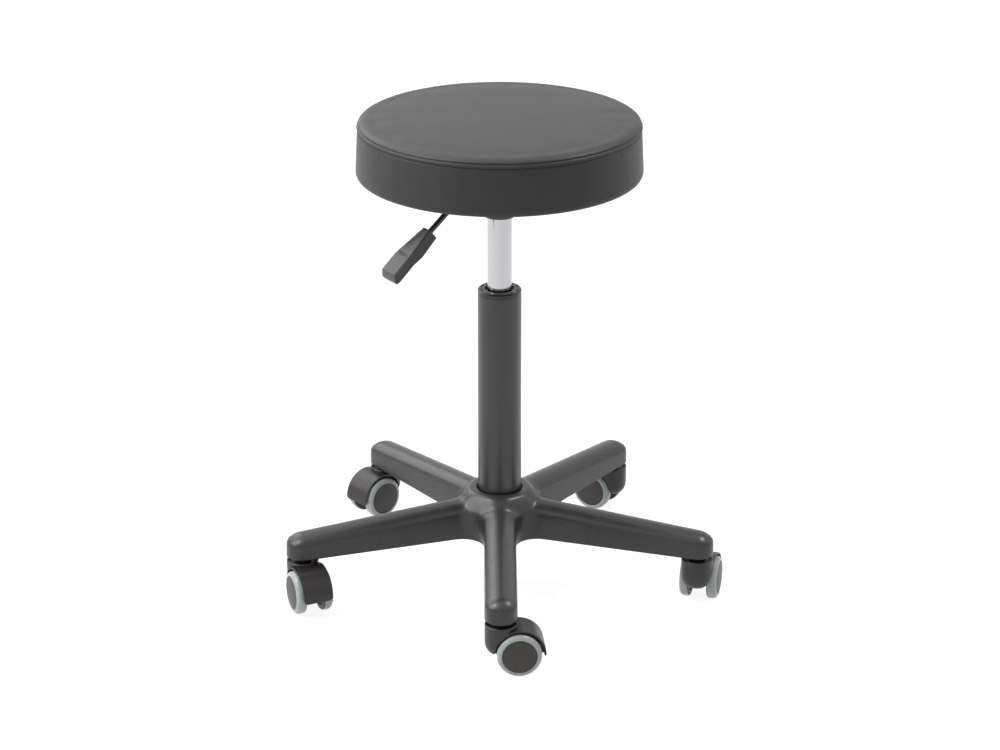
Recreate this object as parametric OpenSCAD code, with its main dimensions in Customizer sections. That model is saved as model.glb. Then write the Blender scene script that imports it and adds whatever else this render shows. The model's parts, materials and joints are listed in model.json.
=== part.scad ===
// Adjustable swivel stool: a round padded seat on a gas lift, a moulded five-arm
// base and five twin-wheel casters. Millimetres, +Z up. The origin lies on the
// floor under the lift's axis, and the front arm points along -Y.

/* [Seat] */
// Diameter of the cushion at its lower edge
seat_d = 321.2; // [280:0.2:360]
// Height of the side band, from the cushion's underside to the crease
band_h = 58.7; // [40:0.1:80]
// How far the side band leans in between its lower edge and the crease
band_lean = 2.9; // [0:0.1:6]
// Radius of the rolled edge of the top panel, above the crease
edge_roll = 6; // [4:0.5:9]
// How far the top panel rises from its rolled edge to the flat of the crown
crown_rise = 3; // [1:0.5:8]
// Diameter of the flat of the crown
crown_flat_d = 120; // [60:5:160]
// Radius of the cushion's lower edge
lower_round = 6; // [4:0.5:9]
// Thickness of the coated fabric
cover_t = 1.5; // [1:0.1:2.5]
// Width of the fabric folded under the board
hem_w = 24; // [15:1:35]
// Thickness of the gathered fabric folded under the board
hem_t = 3.2; // [2:0.1:4]
// Thickness of the plywood board
board_t = 12; // [9:1:18]
// Thickness of the foam round the board's rim
rim_foam = 6; // [3:0.5:10]
// Thickness of the dust cloth
cloth_t = 0.8; // [0.5:0.1:1.5]

/* [Seat plate] */
// Side of the square plate under the board
plate_w = 165; // [150:1:190]
// Corner radius of the plate
plate_corner = 20; // [10:1:30]
// Thickness of the pressed steel
plate_t = 2.5; // [2:0.1:3.5]
// Radius of the pan's floor, in the middle of the plate
pan_floor_r = 38; // [36:1:44]
// How far the pan's wall leans out
pan_lean = 6; // [3:0.5:10]
// Depth inside the pan, from the board down to its floor
pan_depth = 18.1; // [17:0.1:26]
// Distance from the plate's edges to the middle of a seat bolt
bolt_edge = 19.5; // [16:0.5:22]
// Diameter of the seat bolts
bolt_d = 6; // [5:0.5:8]
// Outer diameter of the socket that grips the lift
socket_d = 36; // [34:0.5:42]
// Height of the socket below the pan's floor
socket_h = 33.1; // [25:0.1:45]

/* [Gas lift] */
// Diameter of the outer tube
column_d = 50; // [46:0.5:56]
// Wall of the outer tube
column_wall = 1.5; // [1.2:0.1:2.5]
// Length of the outer tube
column_len = 297.3; // [290:0.1:340]
// Half angle of both tapers, in the base and in the socket
taper = 1.43; // [1:0.01:2]
// Diameter of the chromed cylinder
cylinder_d = 28; // [26:0.5:30]
// Wall of the chromed cylinder
cylinder_wall = 1.8; // [1.5:0.1:3]
// Diameter of the piston rod
rod_d = 10; // [8:0.5:12]
// How far the seat sinks from the modelled height
stroke_down = 85; // [60:1:90]
// How far the seat rises from the modelled height
stroke_up = 45; // [20:1:50]
// Space left between bush and socket with the seat at its lowest
bottom_gap = 2.1; // [1:0.1:8]
// Height of the guide bush's flange on top of the outer tube
bush_flange_h = 6; // [4:0.5:10]
// Length of the guide bush's sleeve inside the outer tube
bush_len = 70; // [50:1:90]
// Height of the release button above the cylinder
button_h = 6.3; // [5.5:0.1:7]

/* [Lever] */
// Direction of the lever seen from above, in degrees
lever_turn = 214; // [0:1:359]
// Diameter of the lever's rod
lever_rod_d = 6.5; // [6:0.5:8.5]
// Distance from the lift's axis to the lever's pivot
pivot_x = 30; // [28:0.5:32]
// Diameter of the pivot pin
pivot_pin_d = 3; // [2:0.5:4]
// Distance from the lift's axis to the rod's bend
bend_x = 41.5; // [40:0.1:52]
// How steeply the rod runs down behind the bend, in degrees
lever_slope = 39; // [20:1:45]
// Length of rod between the bend and the paddle
lever_reach = 66.5; // [40:0.5:90]
// Length of the paddle
paddle_len = 70; // [60:1:95]
// Widest width of the paddle
paddle_w = 28; // [20:0.5:32]
// Thickness of the paddle at the rod
paddle_t = 16; // [13:0.5:20]

/* [Base] */
// Distance from the lift's axis to each caster stem
reach = 238.8; // [200:0.2:280]
// Width of an arm
arm_w = 36.2; // [34:0.2:44]
// Height of an arm at its caster stem
arm_tip_h = 27.1; // [25:0.1:32]
// How steeply the arms rise to the hub, in degrees
arm_pitch = 4.56; // [2:0.01:7]
// Radius of the crown across the top of an arm
crown_r = 23.5; // [22:0.5:30]
// Radius of the arms' rounded top edges, beside the crown
arm_round = 8; // [6:0.5:10]
// Direction of the front arm, counted from -Y, in degrees
star_turn = 0.4; // [-36:0.1:36]
// Radius of the hollow corner between neighbouring arms
valley_r = 25; // [15:1:40]
// Height of the hub
hub_h = 52.8; // [50:0.1:60]
// Wall of the moulding
base_wall = 4; // [3:0.1:5]
// Thickness of the ribs under the arms
rib_t = 2.6; // [2:0.1:4]
// Number of crossed-rib cells under each arm
rib_cells = 4; // [2:1:6]

/* [Casters] */
// Diameter of the wheels
wheel_d = 50; // [40:0.5:60]
// Distance between the swivel axis and the axle
trail = 19.2; // [15:0.1:25]
// Space between the tread and the hood
tread_gap = 2.6; // [1:0.1:3]
// Wall of the hood over the wheels
hood_wall = 1.8; // [1.5:0.1:3]
// Width of the hood over the wheels
hood_w = 35; // [28:0.2:37]
// Diameter of the hood's stem housing
housing_d = 36.6; // [32:0.2:42]
// Height of the housing's rim above the crown of the hood
housing_rise = 2.6; // [1:0.1:6]
// Height between the housing's rim and the arm
stem_gap = 5; // [4:0.1:8]
// Diameter of the caster stem
stem_d = 11; // [10:0.5:12]
// Length of the stem inside the arm
stem_len = 19; // [15:0.5:20]
// Diameter of the axle
axle_d = 7; // [6:0.5:8]
// Thickness of the web between the two wheels of a caster
web_t = 13; // [10:0.5:15]
// Width over both wheels of a caster, across their domed discs
caster_w = 45.6; // [42:0.2:54]
// Diameter of the wheel disc inside the tyre
disc_d = 39; // [34:0.5:42]
// Way the front caster trails, in degrees
front_trail = 5; // [-180:0.5:360]
// Way the right caster trails, in degrees
right_trail = 71; // [-180:0.5:360]
// Way the right rear caster trails, in degrees
right_rear_trail = 146; // [-180:0.5:360]
// Way the left rear caster trails, in degrees
left_rear_trail = 223.5; // [-180:0.5:360]
// Way the left caster trails, in degrees
left_trail = -64.5; // [-180:0.5:360]

/* [Fits] */
// Radial clearance of a shaft that turns or slides in a bore
running_fit = 0.05; // [0.02:0.01:0.1]
// Clearance between pieces that stay together
still_fit = 0.05; // [0.02:0.01:0.1]
// Gap between faces that pass each other
face_gap = 0.3; // [0.2:0.05:0.5]

/* [Hidden] */
$fn = 96;
ARMS = 5;
PLACES = ["front", "right", "right_rear", "left_rear", "left"];
TRAILS = [front_trail, right_trail, right_rear_trail, left_rear_trail, left_trail];
CASTER_PIECES = ["hood", "stem", "axle", "disc_a", "tyre_a", "disc_b", "tyre_b"];

// Heights of the caster, from the floor up
wheel_r = wheel_d / 2;
well_r = wheel_r + tread_gap;
hood_r = well_r + hood_wall;
rim_z = wheel_r + hood_r + housing_rise;
arm_z = rim_z + stem_gap;

// Base
arm_hw = arm_w / 2;
half_sector = 180 / ARMS;
// Where an arm's straight side meets the hollow corner
valley_x = (arm_hw + valley_r) / tan(half_sector);
hub_z = arm_z + hub_h;

// Gas lift
column_r = column_d / 2;
bore_r = column_r - column_wall;
tube_hang = 5;
tube_z = arm_z - tube_hang;
tube_top = tube_z + column_len;
tube_floor_t = 2.5;
cylinder_r = cylinder_d / 2;
rod_r = rod_d / 2;
flange_top = tube_top + bush_flange_h;
socket_z = flange_top + stroke_down + bottom_gap;
pan_z = socket_z + socket_h;
plate_top = pan_z + pan_depth;
board_z = plate_top + cloth_t;
seat_z = board_z - hem_t;

module ring(outer, inner, low, high) {
    translate([0, 0, low])
        difference() {
            cylinder(r = outer, h = high - low);
            translate([0, 0, -1])
                cylinder(r = inner, h = high - low + 2);
        }
}

// Solid through rings of as many points each, listed anticlockwise as seen from
// the last ring's side, with flat ends.
module skin(rings) {
    n = len(rings[0]);
    m = len(rings);
    points = [for (r = rings) each r];
    sides = [for (i = [0:m - 2], j = [0:n - 1])
        let (a = i * n + j, b = i * n + (j + 1) % n)
            each [[a, a + n, b + n], [a, b + n, b]]];
    first = [for (j = [0:n - 1]) j];
    last = [for (j = [n - 1:-1:0]) (m - 1) * n + j];
    polyhedron(points, concat([first], sides, [last]), convexity = 6);
}

// ---- Star base: arms, hub and hollow corners from one outline ----

valley_min = (arm_hw + valley_r) / sin(half_sector) - valley_r;
shoulder_in = column_r + 9;
shoulder_out = valley_min + 1;
hub_core_r = column_r + 8;
boss_r = stem_d / 2 + 4;
side_draft = 0.4;
trim = 4;
lip_gap = 1.7;
lip_depth = 5;
taper_top = hub_z - lip_depth - 3;
SIDE_STEPS = 3;
TIP_STEPS = 12;
VALLEY_STEPS = 8;
ROUND_STEPS = 4;
CROWN_STEPS = 4;
SHOULDER_STEPS = 6;
// Where the crown across an arm runs into its rounded edges, as the slope there,
// and the slope at which the crown gives way to the flat ridge
edge_slope = asin((arm_hw - arm_round) / (crown_r - arm_round));
ridge_slope = 4;
// Depth of the rounded edges' centres below the crest
edge_drop = crown_r - (crown_r - arm_round) * cos(edge_slope);

function turned(p, a) = [p.x * cos(a) - p.y * sin(a), p.x * sin(a) + p.y * cos(a)];
function arm_side(i) = valley_x + (reach - valley_x) * i / SIDE_STEPS;

// Outline of one arm along +X, drawn in by d all round, up to the next arm
function arm_outline(d) = let (w = arm_hw - d, v = valley_r + d) concat(
    [for (i = [0:SIDE_STEPS - 1]) [arm_side(i), -w]],
    [for (i = [0:TIP_STEPS])
        let (a = -90 + 180 * i / TIP_STEPS) [reach + w * cos(a), w * sin(a)]],
    [for (i = [SIDE_STEPS - 1:-1:0]) [arm_side(i), w]],
    [for (i = [1:VALLEY_STEPS - 1])
        let (a = -90 - (180 - 2 * half_sector) * i / VALLEY_STEPS)
            [valley_x + v * cos(a), arm_hw + valley_r + v * sin(a)]]);
function star_outline(d) =
    [for (k = [0:ARMS - 1], p = arm_outline(d)) turned(p, arm_angle(k))];
function arm_angle(k) = star_turn - 90 + 360 / ARMS * k;

// Height of the moulding's crest over a point that far from the lift's axis
function crest_z(r) =
    let (u = min(1, max(0, (r - shoulder_in) / (shoulder_out - shoulder_in))),
         s = u * u * (3 - 2 * u),
         arm = arm_z + arm_tip_h + (reach - r) * tan(arm_pitch))
        hub_z * (1 - s) + arm * s;

// The moulding's outline drawn in by d, that far below its crest
function star_ring(d, drop) = [for (p = star_outline(d)) [p.x, p.y, crest_z(norm(p)) - drop]];

// Rings of the moulding's outside: the drafted sides, which run on below the
// underside until it is trimmed flat, the rounded edges, the crown and the rise
// to the hub
function star_rings() =
    let (foot = star_outline(-side_draft), core = bore_r - 3,
         ridge = star_outline(arm_hw - crown_r * sin(ridge_slope)))
        concat(
            [[for (p = foot) [p.x * core / norm(p), p.y * core / norm(p), arm_z - trim]]],
            [[for (p = foot) [p.x, p.y, arm_z - trim]]],
            [for (i = [0:ROUND_STEPS])
                let (a = 90 - (90 - edge_slope) * i / ROUND_STEPS)
                    star_ring(arm_round * (1 - sin(a)), edge_drop - arm_round * cos(a))],
            [for (i = [1:CROWN_STEPS])
                let (a = edge_slope - (edge_slope - ridge_slope) * i / CROWN_STEPS)
                    star_ring(arm_hw - crown_r * sin(a), crown_r * (1 - cos(a)))],
            [for (i = [1:SHOULDER_STEPS + 1])
                let (r = i > SHOULDER_STEPS ? core
                        : shoulder_out - (shoulder_out - shoulder_in) * i / SHOULDER_STEPS)
                    [for (p = ridge)
                        let (reduced = min(1, (norm(p) - core) / (shoulder_out - core)),
                             s = core + (r - core) * reduced)
                            [p.x * s / norm(p), p.y * s / norm(p), crest_z(s)]]]);

// Outer radius of the outer tube, which narrows into the hub
function tube_r(z) = column_r - max(0, taper_top - z) * tan(taper);

module around_arms() {
    for (k = [0:ARMS - 1])
        rotate([0, 0, arm_angle(k)])
            children();
}

// Prism over each of a list of plan outlines
module prisms(outlines) {
    for (o = outlines)
        translate([0, 0, arm_z - 1])
            linear_extrude(hub_h)
                polygon(o);
}

// Open pockets under one arm. They leave its walls, the crossed ribs, the boss
// round the caster stem and the ring round the lift standing.
module arm_pockets() {
    inner = arm_hw - base_wall;
    // Height of the two pockets under the dome of the tip
    tip_roof = arm_tip_h - crown_r + sqrt(crown_r * crown_r - inner * inner) - base_wall - 1.2;
    start = hub_core_r + rib_t;
    pitch = (reach - boss_r - rib_t - start) / rib_cells;
    lean = atan(2 * inner / pitch);
    ex = rib_t / 2 / sin(lean);
    ey = rib_t / 2 / cos(lean);
    difference() {
        union() {
            prisms([for (i = [0:rib_cells - 1], s = [-1, 1])
                let (x = start + pitch * i)
                    [[x + ex, s * inner], [x + pitch - ex, s * inner],
                     [x + pitch / 2, s * ey]]]);
            prisms([for (i = [0:rib_cells])
                let (x = start + pitch * i,
                     near = i > 0 ? x - pitch / 2 + ex : x,
                     far = i < rib_cells ? x + pitch / 2 - ex : x)
                    i > 0 && i < rib_cells
                        ? [[near, 0], [x, inner - ey], [far, 0], [x, ey - inner]]
                        : [[i > 0 ? near : far, 0], [x, inner - ey], [x, ey - inner]]]);
            translate([reach, 0, arm_z - 1])
                for (turn = [45, 135, 225, 315])
                    rotate([0, 0, turn - 40])
                        rotate_extrude(angle = 80)
                            translate([boss_r, 0])
                                square([inner - boss_r, cos(turn) > 0 ? tip_roof + 1 : hub_h]);
        }
        // What lies over the inside of the crown
        translate([reach, 0, arm_z + arm_tip_h - crown_r])
            rotate([0, arm_pitch, 0])
                difference() {
                    translate([-2 * reach, -arm_w, 0])
                        cube([3 * reach, 2 * arm_w, hub_h]);
                    translate([-2 * reach - 1, 0, 0])
                        rotate([0, 90, 0])
                            cylinder(r = crown_r - base_wall, h = 3 * reach + 2);
                }
    }
    translate([0, 0, arm_z - 1])
        rotate([0, 0, half_sector - 14])
            rotate_extrude(angle = 28)
                translate([hub_core_r, 0])
                    square([valley_min - base_wall - hub_core_r,
                            arm_tip_h + (reach - valley_min) * tan(arm_pitch) - arm_round]);
}

module star_base() color([0.20, 0.20, 0.20])
    difference() {
        skin(star_rings());
        translate([0, 0, arm_z - 2 * trim])
            cylinder(r = reach + arm_w, h = 2 * trim);
        around_arms() {
            arm_pockets();
            translate([reach, 0, arm_z - 3])
                cylinder(r = stem_d / 2 + running_fit, h = stem_len + 3.5);
        }
        translate([0, 0, arm_z - 1])
            cylinder(r1 = tube_r(arm_z - 1) + still_fit, r2 = column_r + still_fit,
                     h = taper_top - arm_z + 1);
        translate([0, 0, taper_top - 0.01])
            cylinder(r = column_r + still_fit, h = hub_z);
        translate([0, 0, hub_z - lip_depth])
            cylinder(r = column_r + lip_gap, h = hub_z);
    }

// ---- Outer tube and what stands in it ----

rod_step_r = rod_r - 1;
floor_hole_r = rod_r + 2;
tube_floor_z = tube_z + tube_floor_t;
ball_r = 2.4;
lower_race_t = 2.5;
ball_z = tube_floor_z + lower_race_t + ball_r - 0.2;
race_z = ball_z + ball_r + face_gap;
race_t = 2;
buffer_z = race_z + race_t;
buffer_h = 8;
stack_top = buffer_z + buffer_h;
washer_t = 0.8;
clip_t = 1.4;
clip_z = tube_z - face_gap - washer_t - clip_t;
groove_r = rod_step_r - 0.8;

module column_tube() color([0.16, 0.16, 0.17])
    difference() {
        union() {
            translate([0, 0, tube_z])
                cylinder(r1 = tube_r(tube_z), r2 = column_r, h = taper_top - tube_z);
            translate([0, 0, taper_top])
                cylinder(r = column_r, h = tube_top - taper_top);
        }
        translate([0, 0, tube_floor_z])
            cylinder(r1 = tube_r(tube_floor_z) - column_wall, r2 = bore_r,
                     h = taper_top - tube_floor_z);
        translate([0, 0, taper_top - 0.01])
            cylinder(r = bore_r, h = column_len);
        translate([0, 0, tube_z - 1])
            cylinder(r = floor_hole_r, h = tube_floor_t + 2);
    }

// Guide bush: a flange on the tube, a collar in it and a ribbed sleeve below
module guide_bush() {
    bore = cylinder_r + running_fit;
    sleeve = bore + 3;
    collar = bore_r - still_fit;
    mouth = bore + 3;
    collar_z = tube_top - 6;
    low = tube_top - bush_len;
    chamfer = 1.4;
    slots = 10;
    color([0.12, 0.12, 0.12])
    difference() {
        union() {
            rotate_extrude()
                polygon([[bore, low], [sleeve, low], [sleeve, collar_z], [collar, collar_z],
                         [collar, tube_top], [column_r, tube_top],
                         [column_r, flange_top - chamfer], [column_r - chamfer, flange_top],
                         [mouth, flange_top], [mouth, flange_top - 2.5],
                         [bore, flange_top - 2.5]]);
            for (i = [0:7])
                rotate([0, 0, 45 * i])
                    translate([sleeve - 0.5, -1, low + 2])
                        cube([collar - sleeve + 0.3, 2, collar_z - low - 2]);
        }
        for (i = [0:slots - 1])
            rotate([0, 0, (i + 0.15) * 360 / slots])
                translate([0, 0, flange_top - 1.2])
                    rotate_extrude(angle = 0.7 * 360 / slots)
                        translate([column_r - 4.6, 0])
                            square([1.3, 2]);
    }
}

// Lower race with the caged balls of the thrust bearing
module thrust_bearing() {
    track_r = (rod_step_r + running_fit + cylinder_r + 3) / 2;
    balls = 12;
    color([0.70, 0.70, 0.72]) {
        ring(track_r + 5, track_r - 4, tube_floor_z, tube_floor_z + lower_race_t);
        ring(track_r + 1.2, track_r - 1.2, ball_z - 1.2, ball_z + 1.2);
        for (i = [0:balls - 1])
            rotate([0, 0, 360 / balls * i])
                translate([track_r, 0, ball_z])
                    sphere(r = ball_r, $fn = 24);
    }
}

module bearing_race() color([0.70, 0.70, 0.72])
    ring(cylinder_r + 1, rod_step_r + still_fit, race_z, race_z + race_t);

module rubber_buffer() color([0.10, 0.10, 0.10])
    ring(cylinder_r - 2, rod_r + still_fit, buffer_z, stack_top);

// Washer and open clip that hold the rod's end under the tube's floor
module retaining_clip() color([0.62, 0.62, 0.64])
    translate([0, 0, clip_z]) {
        difference() {
            cylinder(r = rod_r + 3, h = clip_t);
            translate([0, 0, -1])
                cylinder(r = groove_r + still_fit, h = clip_t + 2);
            translate([0, -groove_r - still_fit, -1])
                cube([rod_r + 4, 2 * (groove_r + still_fit), clip_t + 2]);
        }
        ring(rod_r + 4, rod_step_r + still_fit, clip_t, clip_t + washer_t);
    }

// ---- Gas lift ----

gland_h = 18;
valve_h = 42;
button_r = 4;
button_depth = 22;
chamber_r = cylinder_r - cylinder_wall;
cylinder_z = stack_top + face_gap + stroke_down;
cylinder_top = pan_z - 4;
piston_h = 14;
piston_z = cylinder_z + gland_h + stroke_up + 1;
rod_end = 3;

module piston_rod() color([0.75, 0.75, 0.77])
    difference() {
        union() {
            translate([0, 0, clip_z - rod_end])
                cylinder(r = rod_step_r, h = buffer_z - clip_z + rod_end);
            translate([0, 0, buffer_z])
                cylinder(r = rod_r, h = piston_z + piston_h - buffer_z);
        }
        ring(rod_r + 1, groove_r, clip_z - still_fit, clip_z + clip_t + still_fit);
    }

module piston() color([0.55, 0.55, 0.57])
    difference() {
        ring(chamber_r - running_fit, rod_r + still_fit, piston_z, piston_z + piston_h);
        for (z = [3, 9])
            ring(chamber_r + 1, chamber_r - 1.2, piston_z + z, piston_z + z + 2);
    }

module gas_cylinder() color([0.80, 0.80, 0.82])
    difference() {
        union() {
            translate([0, 0, cylinder_z])
                cylinder(r1 = cylinder_r - 1.5, r2 = cylinder_r, h = 1.5);
            translate([0, 0, cylinder_z + 1.5])
                cylinder(r = cylinder_r, h = socket_z - cylinder_z - 1.5);
            translate([0, 0, socket_z])
                cylinder(r1 = cylinder_r, r2 = cone_r(cylinder_top), h = cylinder_top - socket_z);
        }
        translate([0, 0, cylinder_z + gland_h])
            cylinder(r = chamber_r, h = cylinder_top - valve_h - cylinder_z - gland_h);
        translate([0, 0, cylinder_z - 1])
            cylinder(r = rod_r + running_fit, h = gland_h + 2);
        translate([0, 0, cylinder_top - button_depth])
            cylinder(r = button_r + running_fit, h = button_depth + 1);
    }

// Outer radius of the chromed cylinder where it narrows into the socket
function cone_r(z) = cylinder_r - max(0, z - socket_z) * tan(taper);

module release_button() color([0.72, 0.60, 0.30]) {
    edge = 1.2;
    translate([0, 0, cylinder_top - button_depth / 2])
        cylinder(r = button_r, h = button_depth / 2 + button_h - edge);
    translate([0, 0, cylinder_top + button_h - edge])
        cylinder(r1 = button_r, r2 = button_r - edge, h = edge);
}

// ---- Seat plate, socket and lever ----

lever_play = 0.5;
lever_rod_r = lever_rod_d / 2;
lever_z = cylinder_top + button_h + lever_play + lever_rod_r;
pivot_r = pivot_pin_d / 2;
ear_t = 2.5;
ear_r = pivot_r + 3;
ear_y = lever_rod_r + lever_play;

module cone_socket() color([0.14, 0.14, 0.14])
    difference() {
        translate([0, 0, socket_z])
            cylinder(r = socket_d / 2, h = socket_h);
        translate([0, 0, socket_z])
            cylinder(r1 = cylinder_r + still_fit, r2 = cone_r(pan_z) + still_fit, h = socket_h);
        translate([0, 0, socket_z - 1])
            cylinder(r = cylinder_r + still_fit, h = 1.01);
        translate([0, 0, pan_z - 0.01])
            cylinder(r = cone_r(pan_z) + still_fit, h = 1);
    }

module rounded_square(side, corner) {
    square([side, side - 2 * corner], center = true);
    square([side - 2 * corner, side], center = true);
    for (x = [-1, 1], y = [-1, 1])
        translate([x, y] * (side / 2 - corner))
            circle(r = corner);
}

bolt_x = plate_w / 2 - bolt_edge;

module at_bolts() {
    for (x = [-1, 1], y = [-1, 1])
        translate([x, y, 0] * bolt_x)
            children();
}

// Pressed plate with a pan in its middle, a lever slot and two pivot ears
module seat_plate() {
    pan_top_r = pan_floor_r + pan_lean;
    outer_lean = plate_t * 0.6;
    slot_w = lever_rod_d + 3;
    color([0.14, 0.14, 0.14])
    difference() {
        union() {
            difference() {
                translate([0, 0, plate_top - plate_t])
                    linear_extrude(plate_t)
                        rounded_square(plate_w, plate_corner);
                translate([0, 0, plate_top - plate_t - 1])
                    cylinder(r = pan_top_r + 4, h = plate_t + 2);
            }
            rotate_extrude()
                polygon([[socket_d / 2 + still_fit, pan_z - plate_t],
                         [pan_floor_r + outer_lean, pan_z - plate_t],
                         [pan_top_r + outer_lean, plate_top - plate_t],
                         [pan_top_r + 5, plate_top - plate_t], [pan_top_r + 5, plate_top],
                         [pan_top_r, plate_top], [pan_floor_r, pan_z],
                         [socket_d / 2 + still_fit, pan_z]]);
            rotate([0, 0, lever_turn])
                for (s = [-1, 1])
                    translate([pivot_x, s * (ear_y + ear_t / 2), 0]) {
                        translate([-ear_r, -ear_t / 2, pan_z - 0.5])
                            cube([2 * ear_r, ear_t, lever_z - pan_z + 0.5]);
                        translate([0, 0, lever_z])
                            rotate([90, 0, 0])
                                cylinder(r = ear_r, h = ear_t, center = true);
                    }
        }
        rotate([0, 0, lever_turn]) {
            translate([pivot_x, 0, lever_z])
                rotate([90, 0, 0])
                    cylinder(r = pivot_r + still_fit, h = 60, center = true);
            translate([pan_floor_r - 1, -slot_w / 2, pan_z + 0.2])
                cube([pan_lean + 8, slot_w, pan_depth - plate_t - 0.2]);
        }
        at_bolts()
            translate([0, 0, plate_top - plate_t - 1])
                cylinder(r = bolt_d / 2 + 0.3, h = plate_t + 2);
    }
}

module lever_pin() color([0.70, 0.70, 0.72])
    rotate([0, 0, lever_turn])
        translate([pivot_x, 0, lever_z])
            rotate([90, 0, 0]) {
                cylinder(r = pivot_r, h = 2 * (ear_y + ear_t + 1), center = true);
                translate([0, 0, ear_y + ear_t + face_gap])
                    cylinder(r = pivot_r + 1, h = 1.2);
            }

module seat_bolt(i) {
    head_h = bolt_d * 0.65;
    shank_top = board_z + board_t * 0.8;
    x = i == 1 || i == 4 ? 1 : -1;
    y = i < 3 ? 1 : -1;
    color([0.60, 0.60, 0.62])
    translate([x * bolt_x, y * bolt_x, 0]) {
        translate([0, 0, plate_top - plate_t - head_h])
            cylinder(r = bolt_d, h = head_h, $fn = 6);
        translate([0, 0, plate_top - plate_t - 0.1])
            cylinder(r = bolt_d / 2, h = shank_top - plate_top + plate_t + 0.1);
    }
}

bend_r = 12;
BEND_STEPS = 6;
in_paddle = 0.48 * paddle_len;

// Cross section of the rod turned down by a in the bend, and that far on from there
function bend_ring(on, a) =
    let (x = bend_x - bend_r * tan(lever_slope / 2) + bend_r * sin(a) + on * cos(a),
         z = lever_z - bend_r * (1 - cos(a)) - on * sin(a))
        [for (t = [0:15:345])
            let (side = lever_rod_r * cos(t), up = lever_rod_r * sin(t))
                [x + up * sin(a), side, z + up * cos(a)]];

// Rod of the lever: level over the button, bent, then running down to the paddle
module lever_rod() {
    tangent = bend_r * tan(lever_slope / 2);
    tail = 4;
    color([0.08, 0.08, 0.08])
    rotate([0, 0, lever_turn])
        difference() {
            skin(concat(
                [bend_ring(tangent - bend_x - tail, 0)],
                [for (i = [0:BEND_STEPS]) bend_ring(0, lever_slope * i / BEND_STEPS)],
                [bend_ring(lever_reach + in_paddle - tangent, lever_slope)]));
            translate([pivot_x, 0, lever_z])
                rotate([90, 0, 0])
                    cylinder(r = pivot_r + running_fit, h = 60, center = true);
        }
}

// Eight-sided cross section of the paddle at u along it, anticlockwise seen from its end
function paddle_ring(u, hw, low, high, c) = [for (p = [
        [-hw + c, low], [hw - c, low], [hw, low + c], [hw, high - c],
        [hw - c, high], [-hw + c, high], [-hw, high - c], [-hw, low + c]]) [u, p.x, p.y]];

// Cross section of the thumb hollow at u along the paddle, hw wide either way at its top
function hollow_ring(u, hw, low, high) =
    [[u, -0.4 * hw, low], [u, 0.4 * hw, low], [u, hw, high], [u, -hw, high]];

module lever_paddle() {
    hw = paddle_w / 2;
    t = paddle_t / 2;
    n = paddle_len;
    color([0.30, 0.30, 0.30])
    rotate([0, 0, lever_turn])
        translate([bend_x, 0, lever_z])
            rotate([0, lever_slope, 0])
                translate([lever_reach, 0, 0])
                    difference() {
                        skin([
                            paddle_ring(0, 0.5 * hw, -t, 0.78 * t, 1),
                            paddle_ring(0.39 * n, 0.83 * hw, -t, 0.91 * t, 1.2),
                            paddle_ring(0.59 * n, hw, -0.6 * t, 0.97 * t, 1.4),
                            paddle_ring(0.93 * n, hw, -0.75 * t, 0.85 * t, 1.6),
                            paddle_ring(n, 0.98 * hw, -0.62 * t, 0.1 * t, 1.4)]);
                        skin([
                            hollow_ring(0.03 * n, 0.25 * hw, 0.77 * t, 0.95 * t),
                            hollow_ring(0.34 * n, 0.74 * hw, 0.67 * t, 1.0 * t),
                            hollow_ring(0.52 * n, 0.90 * hw, 0.76 * t, 1.0 * t),
                            hollow_ring(0.60 * n, 0.92 * hw, 0.99 * t, 1.05 * t)]);
                        translate([-1, 0, 0])
                            rotate([0, 90, 0])
                                cylinder(r = lever_rod_r + still_fit, h = in_paddle + 1.2);
                    }
}

// ---- Cushion ----

board_r = seat_d / 2 - cover_t - rim_foam;
hem_r = seat_d / 2 - hem_w;
crease_r = seat_d / 2 - band_lean;

// Half section of the cushion, drawn in by d and at its underside by low, from the
// axis round to the underside
function cushion(d, low) =
    let (roll_x = crease_r - edge_roll, round_x = seat_d / 2 - lower_round)
    concat(
        [[0, low], [0, band_h + edge_roll + crown_rise - d],
         [crown_flat_d / 2, band_h + edge_roll + crown_rise - d]],
        [for (a = [90:-15:0])
            [roll_x + (edge_roll - d) * cos(a), band_h + (edge_roll - d) * sin(a)]],
        [for (a = [0:-15:-90])
            [round_x + (lower_round - d) * cos(a), lower_round + (lower_round - low) * sin(a)]]);

module seat_cover() color([0.26, 0.26, 0.26])
    translate([0, 0, seat_z])
        difference() {
            rotate_extrude() polygon(cushion(0, 0));
            rotate_extrude() polygon(cushion(cover_t, hem_t));
            translate([0, 0, -1])
                cylinder(r = hem_r, h = hem_t + 2);
        }

module seat_foam() color([0.80, 0.76, 0.62])
    translate([0, 0, seat_z])
        difference() {
            rotate_extrude() polygon(cushion(cover_t + still_fit, hem_t + still_fit));
            translate([0, 0, -1])
                cylinder(r = board_r + still_fit, h = hem_t + board_t + 1);
        }

module seat_board() color([0.72, 0.56, 0.38])
    difference() {
        translate([0, 0, board_z])
            cylinder(r = board_r, h = board_t);
        at_bolts()
            translate([0, 0, board_z - 1])
                cylinder(r = bolt_d / 2 + 0.3, h = board_t + 2);
    }

module dust_cloth() color([0.08, 0.08, 0.08])
    difference() {
        translate([0, 0, plate_top])
            cylinder(r = hem_r - 1, h = cloth_t);
        at_bolts()
            translate([0, 0, plate_top - 1])
                cylinder(r = bolt_d / 2 + 0.5, h = cloth_t + 2);
    }

// ---- Casters: each is drawn with its swivel axis on Z, trailing along +X ----

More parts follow.
